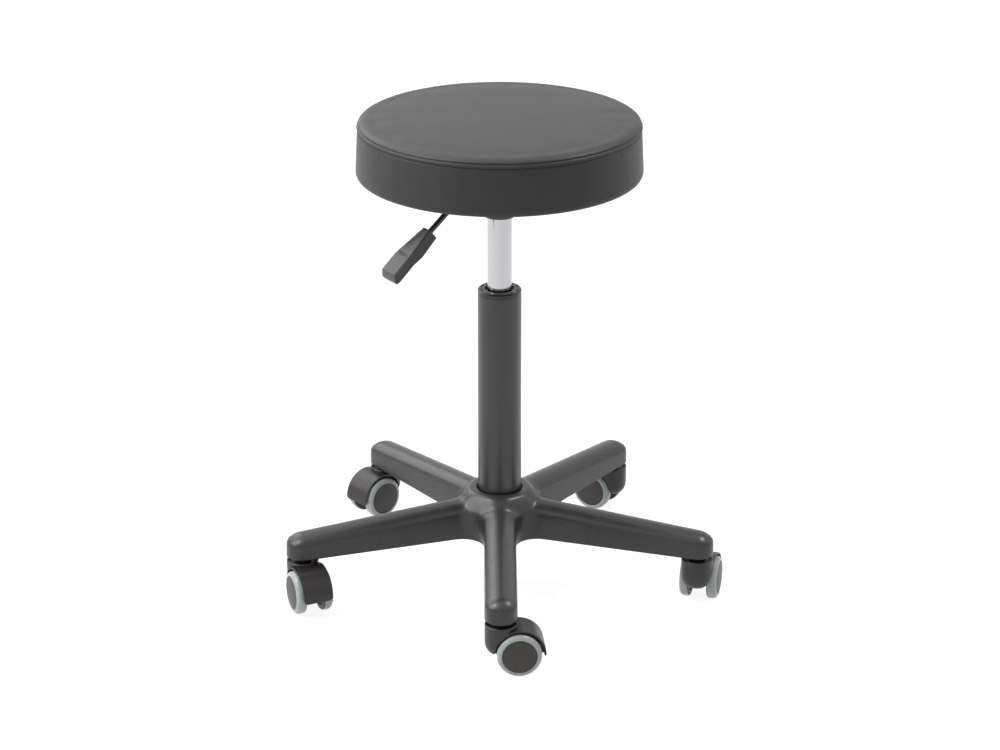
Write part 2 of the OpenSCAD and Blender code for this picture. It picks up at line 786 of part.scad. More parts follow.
web_hw = web_t / 2;
wheel_in = web_hw + 1;
wheel_out = caster_w / 2;
stem_r = stem_d / 2;
axle_r = axle_d / 2;
hood_low = 21.8 / 50 * wheel_d;
flange_z = arm_z - face_gap;
flange_t = 2.5;
neck_r = stem_r + 4;
stem_root = rim_z - 18;
axle_hw = wheel_in + 10;
disc_dome = 1.4;
rim_in = wheel_in + 3;
tyre_in = rim_in + 0.8;
tyre_root_r = wheel_r - 3.4;
shoulder = wheel_r - disc_d / 2 - 0.5;

module at_caster(k) {
    rotate([0, 0, arm_angle(k)])
        translate([reach, 0, 0])
            rotate([0, 0, TRAILS[k] - arm_angle(k)])
                children();
}

module at_axle() {
    translate([trail, 0, wheel_r])
        rotate([-90, 0, 0])
            children();
}

// Hood: stem housing with a turned-in lower edge, fender with rounded lower corners
// over both wheels, and the web that carries the axle between them
module caster_hood() {
    corner = 4.5;
    turn_in = 9;
    recess = 3;
    housing_r = housing_d / 2;
    color([0.24, 0.23, 0.23])
    difference() {
        union() {
            rotate_extrude()
                polygon(concat(
                    [[0, hood_low]],
                    [for (a = [-70:14:0])
                        [housing_r - turn_in + turn_in * cos(a),
                         hood_low + 1.6 * turn_in * (1 + sin(a))]],
                    [[housing_r, rim_z - 0.8], [housing_r - 0.8, rim_z], [0, rim_z]]));
            intersection() {
                at_axle()
                    cylinder(r = hood_r, h = hood_w, center = true);
                translate([0, 0, hood_low])
                    rotate([90, 0, 90])
                        linear_extrude(trail + hood_r + 1) {
                            translate([-hood_w / 2, corner])
                                square([hood_w, rim_z]);
                            translate([corner - hood_w / 2, 0])
                                square([hood_w - 2 * corner, rim_z]);
                            for (y = [-1, 1])
                                translate([y * (hood_w / 2 - corner), corner])
                                    circle(r = corner);
                        }
            }
            at_axle()
                cylinder(r = axle_r + 3.5, h = web_t, center = true);
            translate([0, 0, rim_z - recess - 1])
                cylinder(r = neck_r, h = flange_z - flange_t - rim_z + recess + 1);
        }
        for (s = [-1, 1])
            at_axle()
                translate([0, 0, s * (web_hw + caster_w) - (s < 0 ? 0 : caster_w)])
                    cylinder(r = well_r, h = caster_w);
        ring(housing_r - 2, neck_r, rim_z - recess, rim_z + 1);
        translate([0, 0, stem_root])
            cylinder(r = stem_r + still_fit, h = stem_gap + rim_z);
        at_axle()
            cylinder(r = axle_r + still_fit, h = caster_w, center = true);
    }
}

module caster_stem() color([0.70, 0.70, 0.72]) {
    point = 1.5;
    translate([0, 0, stem_root + face_gap])
        cylinder(r = stem_r, h = arm_z + stem_len - point - stem_root - face_gap);
    translate([0, 0, arm_z + stem_len - point])
        cylinder(r1 = stem_r, r2 = stem_r - point, h = point);
    translate([0, 0, flange_z - flange_t])
        cylinder(r = neck_r + 1.5, h = flange_t);
}

module caster_axle() color([0.70, 0.70, 0.72])
    at_axle()
        cylinder(r = axle_r, h = 2 * axle_hw, center = true);

// Wheel disc: hub, tread core and domed outer disc, for side s of the web
module wheel_disc(s) {
    bore = axle_r + running_fit;
    disc_r = disc_d / 2;
    seat_out = wheel_out - disc_dome - 2.4;
    color([0.30, 0.29, 0.29])
    at_axle()
        mirror([0, 0, s > 0 ? 0 : 1])
            difference() {
                rotate_extrude()
                    polygon([[0, wheel_in], [axle_r + 4, wheel_in],
                             [axle_r + 4, rim_in + 2], [tyre_root_r - 3, rim_in + 2],
                             [tyre_root_r - 2, rim_in], [wheel_r - 1, rim_in],
                             [wheel_r - 1, tyre_in], [tyre_root_r, tyre_in],
                             [tyre_root_r, seat_out], [disc_r, seat_out],
                             [disc_r, wheel_out - disc_dome], [disc_r * 0.97, wheel_out - 0.85 * disc_dome],
                             [disc_r * 0.75, wheel_out - 0.5 * disc_dome],
                             [disc_r * 0.4, wheel_out - 0.15 * disc_dome], [0, wheel_out]]);
                translate([0, 0, wheel_in - 1])
                    cylinder(r = bore, h = axle_hw - wheel_in + 1 + face_gap);
            }
}

module wheel_tyre(s) {
    disc_r = disc_d / 2;
    seat_out = wheel_out - disc_dome - 2.4;
    shoulder_z = wheel_out - disc_dome - shoulder + 0.4;
    color([0.56, 0.60, 0.58])
    at_axle()
        mirror([0, 0, s > 0 ? 0 : 1])
            rotate_extrude()
                polygon(concat(
                    [[tyre_root_r + still_fit, tyre_in + still_fit],
                     [wheel_r - 0.6, tyre_in + still_fit], [wheel_r, tyre_in + 0.8]],
                    [for (a = [0:15:90])
                        [wheel_r - shoulder + shoulder * cos(a), shoulder_z + shoulder * sin(a)]],
                    [[disc_r + still_fit, shoulder_z + shoulder - 0.3],
                     [disc_r + still_fit, seat_out + still_fit],
                     [tyre_root_r + still_fit, seat_out + still_fit]]));
}

module caster_piece(k, piece) {
    at_caster(k) {
        if (piece == "hood") caster_hood();
        if (piece == "stem") caster_stem();
        if (piece == "axle") caster_axle();
        if (piece == "disc_a") wheel_disc(1);
        if (piece == "tyre_a") wheel_tyre(1);
        if (piece == "disc_b") wheel_disc(-1);
        if (piece == "tyre_b") wheel_tyre(-1);
    }
}

star_base();
column_tube();
guide_bush();
thrust_bearing();
piston_rod();
piston();
rubber_buffer();
bearing_race();
retaining_clip();
gas_cylinder();
cone_socket();
seat_plate();
seat_board();
seat_foam();
seat_cover();
dust_cloth();
lever_pin();
release_button();
lever_rod();
lever_paddle();
for (i = [1:4])
    seat_bolt(i);
for (k = [0:ARMS - 1], piece = CASTER_PIECES)
    caster_piece(k, piece);
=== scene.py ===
"""Looks of the swivel stool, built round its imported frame.

The file is laid out as an add-on: settings, one operator for each group of pieces, a panel that lists
them, and a main function that runs them in order. Lengths are in metres unless a name ends in _mm.
"""

import json
import math

import bmesh
import bpy
import numpy as np
from bpy.props import FloatProperty, FloatVectorProperty, IntProperty, PointerProperty
from bpy.types import Node, NodeSocket, Operator, Panel, PropertyGroup
from mathutils import Matrix, Vector
from mathutils.bvhtree import BVHTree

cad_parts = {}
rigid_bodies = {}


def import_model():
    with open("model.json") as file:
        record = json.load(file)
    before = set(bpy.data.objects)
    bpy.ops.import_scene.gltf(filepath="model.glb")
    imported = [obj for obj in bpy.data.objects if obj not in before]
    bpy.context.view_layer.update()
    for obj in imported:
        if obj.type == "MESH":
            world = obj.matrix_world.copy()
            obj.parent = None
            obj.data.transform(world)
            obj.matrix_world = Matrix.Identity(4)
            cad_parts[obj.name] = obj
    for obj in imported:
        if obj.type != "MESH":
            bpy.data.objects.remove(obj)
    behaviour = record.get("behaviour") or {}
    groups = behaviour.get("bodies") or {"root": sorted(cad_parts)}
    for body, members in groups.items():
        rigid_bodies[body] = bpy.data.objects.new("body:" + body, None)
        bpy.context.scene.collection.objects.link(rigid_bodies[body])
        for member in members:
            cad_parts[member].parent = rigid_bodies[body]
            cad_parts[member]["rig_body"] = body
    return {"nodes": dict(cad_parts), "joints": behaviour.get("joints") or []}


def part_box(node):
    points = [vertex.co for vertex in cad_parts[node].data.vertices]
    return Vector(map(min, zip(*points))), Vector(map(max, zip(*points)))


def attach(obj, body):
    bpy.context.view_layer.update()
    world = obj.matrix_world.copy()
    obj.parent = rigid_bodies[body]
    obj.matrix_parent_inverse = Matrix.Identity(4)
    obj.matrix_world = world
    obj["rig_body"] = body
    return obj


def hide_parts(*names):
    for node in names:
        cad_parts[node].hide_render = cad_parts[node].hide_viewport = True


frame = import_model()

bl_info = {
    "name": "Swivel stool",
    "version": (1, 0, 0),
    "blender": (4, 5, 0),
    "location": "3D View > Sidebar > Stool",
    "description": "Dresses the packed frame of a swivel stool with its cushion, finishes and studio",
    "category": "Object",
}

MM = 0.001
PLACES = ("front", "right", "right_rear", "left_rear", "left")
ARMS = len(PLACES)

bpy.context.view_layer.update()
joints = {joint["name"]: joint for joint in frame["joints"]}


# ---- Measures that the frame gives ----

cover_low, cover_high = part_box("seat_cover")
cloth_low, cloth_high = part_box("dust_cloth")
base_low, base_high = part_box("star_base")
front_stem = Vector(joints["front_swivel"]["pos_m"][:2])
SEAT_RADIUS = (cover_high.x - cover_low.x) / 2
SEAT_BOTTOM, SEAT_TOP = cover_low.z, cover_high.z
CLOTH_RADIUS = (cloth_high.x - cloth_low.x) / 2
TUBE_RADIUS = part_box("column_tube")[1].x
UNDERSIDE, HUB_TOP = base_low.z, base_high.z
ARM_REACH = front_stem.length
FRONT_ARM = math.atan2(front_stem.y, front_stem.x)


def linear(hex_colour):
    """A colour written as sRGB hex, as the linear RGBA that Blender works in."""
    channels = (int(hex_colour[i : i + 2], 16) / 255 for i in (1, 3, 5))
    return (*(c / 12.92 if c <= 0.04045 else ((c + 0.055) / 1.055) ** 2.4 for c in channels), 1.0)


def colour_setting(name, hex_colour, description):
    return FloatVectorProperty(
        name=name, description=description, subtype="COLOR", size=4, min=0, max=1, default=linear(hex_colour)
    )


def length_setting(name, millimetres, description):
    return FloatProperty(
        name=name, description=description, unit="LENGTH", min=0, precision=5, default=millimetres * MM
    )


def angle_setting(name, degrees, description):
    return FloatProperty(name=name, description=description, subtype="ANGLE", default=math.radians(degrees))


def power_setting(name, watts, description):
    return FloatProperty(name=name, description=description, unit="POWER", default=watts)


# ---- Settings ----


class StoolCushionSettings(PropertyGroup):
    """Shape of the cushion's cover."""

    crease_drop: length_setting("Crease below the crown", 9, "Height from the crease up to the crown")
    side_lean: length_setting("Side lean", 2.9, "How far the side band leans in up to the crease")
    roll_width: length_setting("Edge roll", 13, "Width over which the top panel rolls down to the crease")
    lower_round: length_setting("Lower rounding", 6, "Radius where the side band turns under the board")
    crease_depth: length_setting("Crease depth", 1.2, "Depth of the crease where the top panel meets the band")
    welt_width: length_setting("Welt width", 5, "Height of the flat welt between the crease and its topstitch")
    stitch_pitch: length_setting("Stitch pitch", 4.4, "Distance from one topstitch to the next")
    stitch_length: length_setting("Stitch length", 2.9, "Length of the thread that shows of one topstitch")
    thread_width: length_setting("Thread width", 0.8, "Diameter of the topstitch thread")
    hem_width: length_setting("Hem width", 24, "Width of the cover that is folded under the board")
    swell_limit: length_setting("Swell limit", 1.3, "How far the padding may push the cover out")
    pressure: FloatProperty(name="Pressure", description="Pressure of the padding", min=0, default=4.0)
    pleats: IntProperty(name="Pleats", description="Folds in the hem under the board", min=3, default=52)
    staples: IntProperty(name="Staples", description="Staples that hold the hem", min=3, default=34)


class StoolFinishSettings(PropertyGroup):
    """Colours of the finishes, as they are without light on them."""

    leatherette: colour_setting("Leatherette", "#353534", "PVC-coated fabric of the cushion")
    thread: colour_setting("Thread", "#161616", "Polyester thread of the topstitch")
    nylon: colour_setting("Base nylon", "#2d2d2e", "Glass-filled nylon of the star base")
    paint: colour_setting("Black paint", "#1f1f20", "Semi-gloss paint on the steel parts")
    bush: colour_setting("Bush", "#2c2c2c", "Acetal of the guide bush")
    chrome: colour_setting("Chrome", "#b9b9bb", "Chrome plating of the gas cylinder")
    hood: colour_setting("Hood nylon", "#272423", "Nylon of the caster hoods")
    disc: colour_setting("Wheel disc", "#2f2d2b", "Nylon of the wheel discs")
    tread: colour_setting("Tread", "#a3aaa6", "Polyurethane of the treads")
    paddle: colour_setting("Paddle", "#464445", "Polypropylene of the lever's paddle")


class StoolBaseSettings(PropertyGroup):
    """Shape of the star base's outside."""

    arm_width: length_setting("Arm width", 36.2, "Width of an arm")
    tip_height: length_setting("Tip height", 27.1, "Height of an arm at its caster")
    arm_pitch: angle_setting("Arm pitch", 4.56, "How steeply the arms rise to the hub")
    crown_radius: length_setting("Crown radius", 23.5, "Radius of the crown across the top of an arm")
    edge_radius: length_setting("Edge radius", 8, "Radius of the arms' rounded top edges, beside the crown")
    corner_radius: length_setting("Corner radius", 25, "Radius of the hollow corner between neighbouring arms")
    side_draft: length_setting("Side draft", 0.3, "How far the arms' sides lean out towards the underside")
    shoulder_radius: length_setting("Shoulder radius", 34, "Radius of the flat ring on top of the hub")
    recess_width: length_setting("Recess width", 1.7, "Width of the recess round the tube, on top of the hub")
    recess_depth: length_setting("Recess depth", 5, "Depth of the recess round the tube")
    recess_curl: length_setting("Recess rounding", 0.8, "Radius at the recess's mouth")
    lip_radius: length_setting("Lip radius", 0.8, "Radius at the lower edge of the arms' walls")


class StoolCasterSettings(PropertyGroup):
    """Shape of the caster wheels."""

    wheel_radius: length_setting("Wheel radius", 25, "Radius over the tread")
    width: length_setting("Caster width", 45.6, "Width over the domed faces of both wheels")
    disc_radius: length_setting("Disc radius", 19.5, "Radius of the domed disc inside the tread")
    dome: length_setting("Dome", 1.4, "How far the disc is domed")
    tyre_root: length_setting("Tread root", 21.6, "Radius on which the tread sits")
    wheel_inside: length_setting("Hub face", 7.5, "Distance from the caster's middle to a wheel's hub")
    flange_inside: length_setting("Flange face", 10.5, "Distance from the caster's middle to a wheel's flange")
    hub_radius: length_setting("Hub radius", 7.5, "Radius of a wheel's hub")
    bore_radius: length_setting("Bore radius", 3.55, "Radius of the axle's bore")
    bore_end: length_setting("Bore end", 17.8, "Distance from the caster's middle to the end of the bore")


class StoolStageSettings(PropertyGroup):
    """Camera, lamps and floor."""

    camera_back: length_setting("Camera distance", 2917, "Distance in front of the lift's axis")
    camera_up: length_setting("Camera height", 1413, "Height above the floor")
    camera_tilt: angle_setting("Camera tilt", 21.67, "How far the camera looks down")
    focal_length: FloatProperty(
        name="Focal length", description="On a 36 mm wide sensor", unit="CAMERA", min=1, default=98.3
    )
    shift: FloatProperty(name="Shift", description="Sideways shift of the frame", default=0.0004)
    top_power: power_setting("Top lamp", 10, "Power of the overhead softbox")
    left_power: power_setting("Left lamp", 56, "Power of the left softbox")
    back_power: power_setting("Back lamp", 27, "Power of the softbox behind, on the left")
    right_power: power_setting("Right lamp", 5, "Power of the right softbox")
    head_power: power_setting("Overhead heads", 17, "Power of the brighter of two small overhead lamps")
    ambient: FloatProperty(name="Ambient", description="Light from all round", min=0, default=0.25)
    floor_white: FloatProperty(name="Floor white", description="Glow of the floor", min=0, max=1, default=0.9)


# ---- Shader nodes ----

# The middle of a noise texture's range, where nearly all of its values lie.
NOISE_RANGE = {"From Min": 0.3, "From Max": 0.7}


def add_node(tree, kind, inputs=None, **settings):
    """Adds a shader node. Each input is a value for a socket or what to link to it, which is an output of
    another node, or a node itself for its first output."""
    made = tree.nodes.new("ShaderNode" + kind)
    for name, value in settings.items():
        setattr(made, name, value)
    for socket, value in (inputs or {}).items():
        if isinstance(value, Node):
            value = value.outputs[0]
        if isinstance(value, NodeSocket):
            tree.links.new(value, made.inputs[socket])
        else:
            made.inputs[socket].default_value = value
    return made


def new_material(name):
    """An empty material, its node tree and the place on the object in metres."""
    material = bpy.data.materials.new(name)
    material.use_nodes = True
    tree = material.node_tree
    tree.nodes.clear()
    return material, tree, add_node(tree, "TexCoord").outputs["Object"]


def finished(material, inputs):
    """The material, ended with the one surface shader that it needs."""
    tree = material.node_tree
    add_node(tree, "OutputMaterial", {"Surface": add_node(tree, "BsdfPrincipled", inputs)})
    return material


def cells(place, size_mm):
    """Inputs of a texture at which one cell of its pattern is that many millimetres wide."""
    return {"Vector": place, "Scale": 1000 / size_mm}


def shades(tree, factor, low, high, colour):
    """A colour that wanders between low and high times its own brightness."""
    spread = add_node(tree, "MapRange", {"Value": factor, **NOISE_RANGE, "To Min": low, "To Max": high})
    return add_node(tree, "VectorMath", {0: tuple(colour[:3]), "Scale": spread}, operation="SCALE")


def leatherette(finish):
    """PVC leatherette: a soft coating embossed with fine pebbles, which spread its sheen into a satin
    glow, and a tone that drifts a little from place to place. Real pebbles are about 0.7 mm; these are
    1.1 mm, because finer ones would not show."""
    material, tree, place = new_material("pvc_leatherette")
    pebbles = add_node(tree, "TexVoronoi", {**cells(place, 1.1), "Smoothness": 0.6}, feature="SMOOTH_F1")
    creases = add_node(tree, "TexNoise", {**cells(place, 6), "Detail": 3, "Roughness": 0.6})
    drift = add_node(tree, "TexNoise", {**cells(place, 38), "Detail": 2, "Roughness": 0.5})
    coarse = add_node(tree, "Bump", {"Height": creases, "Strength": 0.35, "Distance": 0.25 * MM})
    fine = add_node(
        tree, "Bump", {"Height": pebbles, "Strength": 0.35, "Distance": 0.12 * MM, "Normal": coarse}
    )
    return finished(material, {
        "Base Color": shades(tree, drift, 0.95, 1.06, finish.leatherette),
        "Roughness": add_node(tree, "MapRange", {"Value": creases, "To Min": 0.40, "To Max": 0.52}),
        "IOR": 1.5,
        "Specular IOR Level": 0.25,
        "Normal": fine,
    })


def grained(name, colour, grain_mm, depth_mm, mottle, roughness, ior):
    """Moulded plastic with the mould's eroded texture: a grain of small bumps that breaks up its
    highlights, a tone that varies with it by that mottle, and flow marks as slow changes of gloss. The
    grain is drawn about 1 mm across, coarser than the real few tenths, because those would not show."""
    material, tree, place = new_material(name)
    grain = add_node(tree, "TexNoise", {**cells(place, grain_mm), "Detail": 2, "Roughness": 0.6})
    flow = add_node(tree, "TexNoise", {**cells(place, 24), "Detail": 3, "Roughness": 0.6})
    low, high = roughness
    gloss = add_node(tree, "MapRange", {"Value": flow, **NOISE_RANGE, "To Min": low, "To Max": high})
    return finished(material, {
        "Base Color": shades(tree, grain, 1 - mottle, 1 + mottle, colour),
        "Roughness": gloss,
        "IOR": ior,
        "Specular IOR Level": 0.4,
        "Normal": add_node(tree, "Bump", {"Height": grain, "Strength": 1, "Distance": depth_mm * MM}),
    })


def glass_filled_nylon(finish):
    """Glass-filled nylon, injection moulded in an eroded mould: short fibres lie at the surface and
    mottle its satin shine. The mottling is drawn 1.8 mm across, coarser than the real grain of about
    1 mm, because that would not show."""
    return grained(
        "glass_filled_nylon", finish.nylon,
        grain_mm=1.8, depth_mm=0.08, mottle=0.30, roughness=(0.28, 0.36), ior=1.53,
    )


def hood_nylon(finish):
    """Unfilled nylon of the hoods, injection moulded in a finely eroded mould, which gives a soft shine."""
    return grained(
        "moulded_nylon", finish.hood,
        grain_mm=1.2, depth_mm=0.06, mottle=0.08, roughness=(0.34, 0.42), ior=1.53,
    )


def disc_nylon(finish):
    """Nylon of the wheel discs, moulded against a matt-blasted face that dulls their shine."""
    return grained(
        "blasted_nylon", finish.disc,
        grain_mm=1.0, depth_mm=0.04, mottle=0.06, roughness=(0.40, 0.50), ior=1.53,
    )


def acetal(finish):
    """Acetal of the guide bush, moulded in a smooth mould: it looks slippery and slightly waxy."""
    return grained(
        "moulded_acetal", finish.bush,
        grain_mm=0.9, depth_mm=0.02, mottle=0.05, roughness=(0.22, 0.30), ior=1.48,
    )


def polypropylene(finish):
    """Polypropylene of the lever's paddle, moulded with a leather-like grain so that it doesn't slip."""
    return grained(
        "moulded_polypropylene", finish.paddle,
        grain_mm=1.3, depth_mm=0.06, mottle=0.08, roughness=(0.42, 0.50), ior=1.49,
    )


def buffer_rubber():
    """Moulded nitrile rubber of the bump stop: black and dull."""
    return grained(
        "nitrile_rubber", linear("#1c1c1c"),
        grain_mm=1.2, depth_mm=0.03, mottle=0.08, roughness=(0.70, 0.85), ior=1.52,
    )


def black_paint(finish):
    """Semi-gloss black paint baked on steel: smooth enough to mirror the floor softly, with a faint
    orange peel about 3 mm across."""
    material, tree, place = new_material("painted_steel")
    peel = add_node(tree, "TexNoise", {**cells(place, 3), "Detail": 1, "Roughness": 0.5})
    cloud = add_node(tree, "TexNoise", {**cells(place, 45), "Detail": 2, "Roughness": 0.5})
    return finished(material, {
        "Base Color": shades(tree, cloud, 0.94, 1.06, finish.paint),
        "Roughness": 0.34,
        "IOR": 1.5,
        "Specular IOR Level": 0.65,
        "Normal": add_node(tree, "Bump", {"Height": peel, "Strength": 0.3, "Distance": 0.03 * MM}),
    })


def turned_metal(name, colour, line_mm, depth_mm, roughness):
    """Metal that was ground or turned: fine lines run round the upright axis and draw its highlights
    out along it. They are drawn half a millimetre or more apart, because the real ones would not show."""
    material, tree, place = new_material(name)
    drawn_out = add_node(tree, "Mapping", {"Vector": place, "Scale": (0.02, 0.02, 1)})
    lines = add_node(tree, "TexNoise", {**cells(drawn_out, line_mm), "Detail": 3, "Roughness": 0.7})
    return finished(material, {
        "Base Color": shades(tree, lines, 0.96, 1.03, colour),
        "Metallic": 1,
        "Roughness": roughness,
        "Normal": add_node(tree, "Bump", {"Height": lines, "Strength": 0.5, "Distance": depth_mm * MM}),
    })


def chrome_plating(finish):
    """Hard chrome on a ground steel tube: a bright mirror that the grinding lines smear a little."""
    return turned_metal("chrome_plating", finish.chrome, line_mm=0.5, depth_mm=0.006, roughness=0.16)


def zinc_plated_steel():
    """Zinc plate over turned or pressed steel: pale, bluish and half dull."""
    return turned_metal("zinc_plated_steel", linear("#b9bbbd"), line_mm=0.8, depth_mm=0.02, roughness=0.32)


def bearing_steel():
    """Hardened and ground steel of the races and the piston rod: nearly a mirror."""
    return turned_metal("ground_steel", linear("#b4b5b8"), line_mm=0.6, depth_mm=0.01, roughness=0.18)


def turned_aluminium():
    """Aluminium of the piston, turned on a lathe: soft rings of tool marks."""
    return turned_metal("turned_aluminium", linear("#bcbdc0"), line_mm=0.5, depth_mm=0.02, roughness=0.30)


def spring_steel():
    """Bare spring steel of the clip, stamped and tempered: darker than the plated parts."""
    return turned_metal("tempered_steel", linear("#9a9b9e"), line_mm=0.8, depth_mm=0.02, roughness=0.35)


def turned_brass():
    """Brass of the release button, turned and left bare."""
    return turned_metal("turned_brass", linear("#c9a555"), line_mm=0.5, depth_mm=0.01, roughness=0.28)


def polyurethane_tread(finish):
    """Soft polyurethane, cast in a polished mould: wet-looking, a little translucent, grey with a cast
    of green."""
    material, tree, place = new_material("polyurethane")
    cloud = add_node(tree, "TexNoise", {**cells(place, 14), "Detail": 2, "Roughness": 0.5})
    ripple = add_node(tree, "TexNoise", {**cells(place, 5), "Detail": 1, "Roughness": 0.5})
    return finished(material, {
        "Base Color": shades(tree, cloud, 0.94, 1.05, finish.tread),
        "Roughness": 0.22,
        "IOR": 1.5,
        "Subsurface Weight": 0.12,
        "Subsurface Scale": 2 * MM,
        "Normal": add_node(tree, "Bump", {"Height": ripple, "Strength": 0.3, "Distance": 0.05 * MM}),
    })


def plywood():
    """Birch plywood, rotary cut and sanded: long pale grain across the faces."""
    material, tree, place = new_material("birch_plywood")
    along = add_node(tree, "Mapping", {"Vector": place, "Scale": (0.08, 1, 1)})
    grain = add_node(tree, "TexNoise", {**cells(along, 5), "Detail": 4, "Roughness": 0.65})
    return finished(material, {
        "Base Color": shades(tree, grain, 0.8, 1.15, linear("#c9a877")),
        "Roughness": 0.65,
        "Normal": add_node(tree, "Bump", {"Height": grain, "Strength": 0.3, "Distance": 0.15 * MM}),
    })


def spunbond():
    """Black spunbond polypropylene: fibres pressed together in a grid of dots 2.5 mm apart."""
    material, tree, place = new_material("spunbond_cloth")
    dots = add_node(tree, "TexVoronoi", {**cells(place, 2.5), "Randomness": 0.15})
    fibres = add_node(tree, "TexNoise", {**cells(place, 1.2), "Detail": 4, "Roughness": 0.7})
    pressed = add_node(tree, "Bump", {"Height": dots, "Strength": 0.8, "Distance": 0.3 * MM})
    fuzzy = add_node(tree, "Bump", {"Height": fibres, "Strength": 0.6, "Distance": 0.2 * MM, "Normal": pressed})
    return finished(material, {
        "Base Color": shades(tree, fibres, 0.8, 1.25, linear("#1f1f20")),
        "Roughness": 0.9,
        "Sheen Weight": 0.25,
        "Sheen Roughness": 0.5,
        "Normal": fuzzy,
    })


def polyester_thread(finish):
    """Bonded polyester thread: three plies laid in a twist, with a dull shine along each."""
    material, tree, place = new_material("polyester_thread")
    plies = add_node(
        tree, "TexWave", {**cells(place, 2.2), "Distortion": 1}, bands_direction="DIAGONAL"
    ).outputs["Fac"]
    return finished(material, {
        "Base Color": shades(tree, plies, 0.85, 1.15, finish.thread),
        "Roughness": 0.7,
        "Specular IOR Level": 0.3,
        "Normal": add_node(tree, "Bump", {"Height": plies, "Strength": 0.5, "Distance": 0.1 * MM}),
    })


def seen_rays(tree):
    """1 on a ray from the camera, straight, mirrored or through glass, and 0 on one of falling light."""
    path = add_node(tree, "LightPath").outputs
    seen = add_node(tree, "Math", {0: path["Is Camera Ray"], 1: path["Is Glossy Ray"]}, operation="MAXIMUM")
    return add_node(tree, "Math", {0: seen, 1: path["Is Transmission Ray"]}, operation="MAXIMUM")


def studio_floor(white):
    """Pale studio floor, painted matt. Where it is seen or mirrored it glows almost to plain white, and
    the light on it adds the rest, so that only a soft shadow stays."""
    material, tree, _ = new_material("studio_floor")
    paint = add_node(tree, "BsdfDiffuse", {"Color": linear("#e8e8e8")})
    shaded = add_node(tree, "BsdfDiffuse", {"Color": linear("#909090")})
    glow = add_node(tree, "Emission", {"Color": (1, 1, 1, 1), "Strength": white})
    bright = add_node(tree, "AddShader", {0: shaded, 1: glow})
    mix = add_node(tree, "MixShader", {0: seen_rays(tree), 1: paint, 2: bright})
    add_node(tree, "OutputMaterial", {"Surface": mix})
    return material


# ---- Meshes ----

WELD = 0.002 * MM  # points nearer to each other than this are one
FLAT = math.radians(0.5)  # faces that meet at less than this are parts of one flat face
SHARP = math.radians(40)  # edges of the mouldings that are sharper than this stay sharp in the shading


def add_object(name, data):
    """A new object in the scene."""
    made = bpy.data.objects.new(name, data)
    bpy.context.scene.collection.objects.link(made)
    return made


def new_piece(name, mesh, material, body):
    """A shown piece that rides on a body of the frame."""
    piece = add_object(name, mesh)
    piece.data.materials.clear()
    piece.data.materials.append(material)
    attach(piece, body)
    return piece


def stand_in(node, mesh, material):
    """A piece shown in the place of a CAD node, on the node's body."""
    piece = new_piece(mesh.name, mesh, material, frame["nodes"][node]["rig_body"])
    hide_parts(node)
    return piece


def plain_mesh(name, points, faces):
    """A smooth-shaded mesh of points and faces."""
    mesh = bpy.data.meshes.new(name)
    mesh.from_pydata([tuple(point) for point in points], [], faces)
    mesh.shade_smooth()
    return mesh


def grid_faces(count, around, loop=False):
    """Faces between rings that run down the outside, each listed anticlockwise as seen from above."""
    last = count if loop else count - 1
    return [
        (i * around + j, (i + 1) % count * around + j, (i + 1) % count * around + k, i * around + k)
        for i in range(last)
        for j, k in zip(range(around), [*range(1, around), 0])
    ]


def ring_mesh(name, rings, loop=False):
    """A smooth mesh through rings of as many points each. Its ends are closed by fans, or joined to each
    other as a loop."""
    count, around = len(rings), len(rings[0])
    points = list(np.concatenate(rings))
    faces = grid_faces(count, around, loop)
    if not loop:
        first, last = len(points), len(points) + 1
        points += [np.mean(rings[0], axis=0), np.mean(rings[-1], axis=0)]
        nexts = [*range(1, around), 0]
        below = (count - 1) * around
        faces += [(first, j, nexts[j]) for j in range(around)]
        faces += [(last, below + nexts[j], below + j) for j in range(around)]
    return plain_mesh(name, points, faces)


def form_mesh(name, form):
    """A smooth-shaded mesh of a bmesh, which is used up."""
    mesh = bpy.data.meshes.new(name)
    form.to_mesh(mesh)
    form.free()
    mesh.shade_smooth()
    return mesh


def joined(name, parts):
    """One mesh of many, which are used up, with their faces turned outwards."""
    form = bmesh.new()
    for part in parts:
        form.from_mesh(part)
        bpy.data.meshes.remove(part)
    bmesh.ops.recalc_face_normals(form, faces=form.faces)
    return form_mesh(name, form)


def welded(points, faces):
    """A bmesh of points and faces, in which coincident points are joined."""
    plain = plain_mesh("plain", points, faces)
    form = bmesh.new()
    form.from_mesh(plain)
    bpy.data.meshes.remove(plain)
    bmesh.ops.remove_doubles(form, verts=form.verts, dist=WELD)
    return form


def cad_form(node):
    """The surface of a CAD node as a bmesh, with its facets joined."""
    source = frame["nodes"][node].data
    return welded([vertex.co for vertex in source.vertices], [tuple(face.vertices) for face in source.polygons])


def points_and_faces(form):
    """Points and faces of a bmesh, which is used up. Points that no face uses are left out."""
    loose = [vertex for vertex in form.verts if not vertex.link_faces]
    bmesh.ops.delete(form, geom=loose, context="VERTS")
    form.verts.index_update()
    points = [tuple(vertex.co) for vertex in form.verts]
    faces = [tuple(vertex.index for vertex in face.verts) for face in form.faces]
    form.free()
    return points, faces


def turned(profile, angles):
    """Rings of points for a profile of (radius, height) turned round the Z axis."""
    around = np.stack([np.cos(angles), np.sin(angles)], axis=1)
    return [np.column_stack([around * radius, np.full(len(angles), height)]) for radius, height in profile]


def full_turn(steps):
    """Angles evenly spaced over one turn."""
    return np.linspace(0, 2 * math.pi, steps, endpoint=False)


def arc(centre, radius, start, end, steps):
    """Points on an arc, from one angle to another in degrees."""
    turns = np.radians(np.linspace(start, end, steps))
    return [(centre[0] + radius[0] * math.cos(a), centre[1] + radius[1] * math.sin(a)) for a in turns]


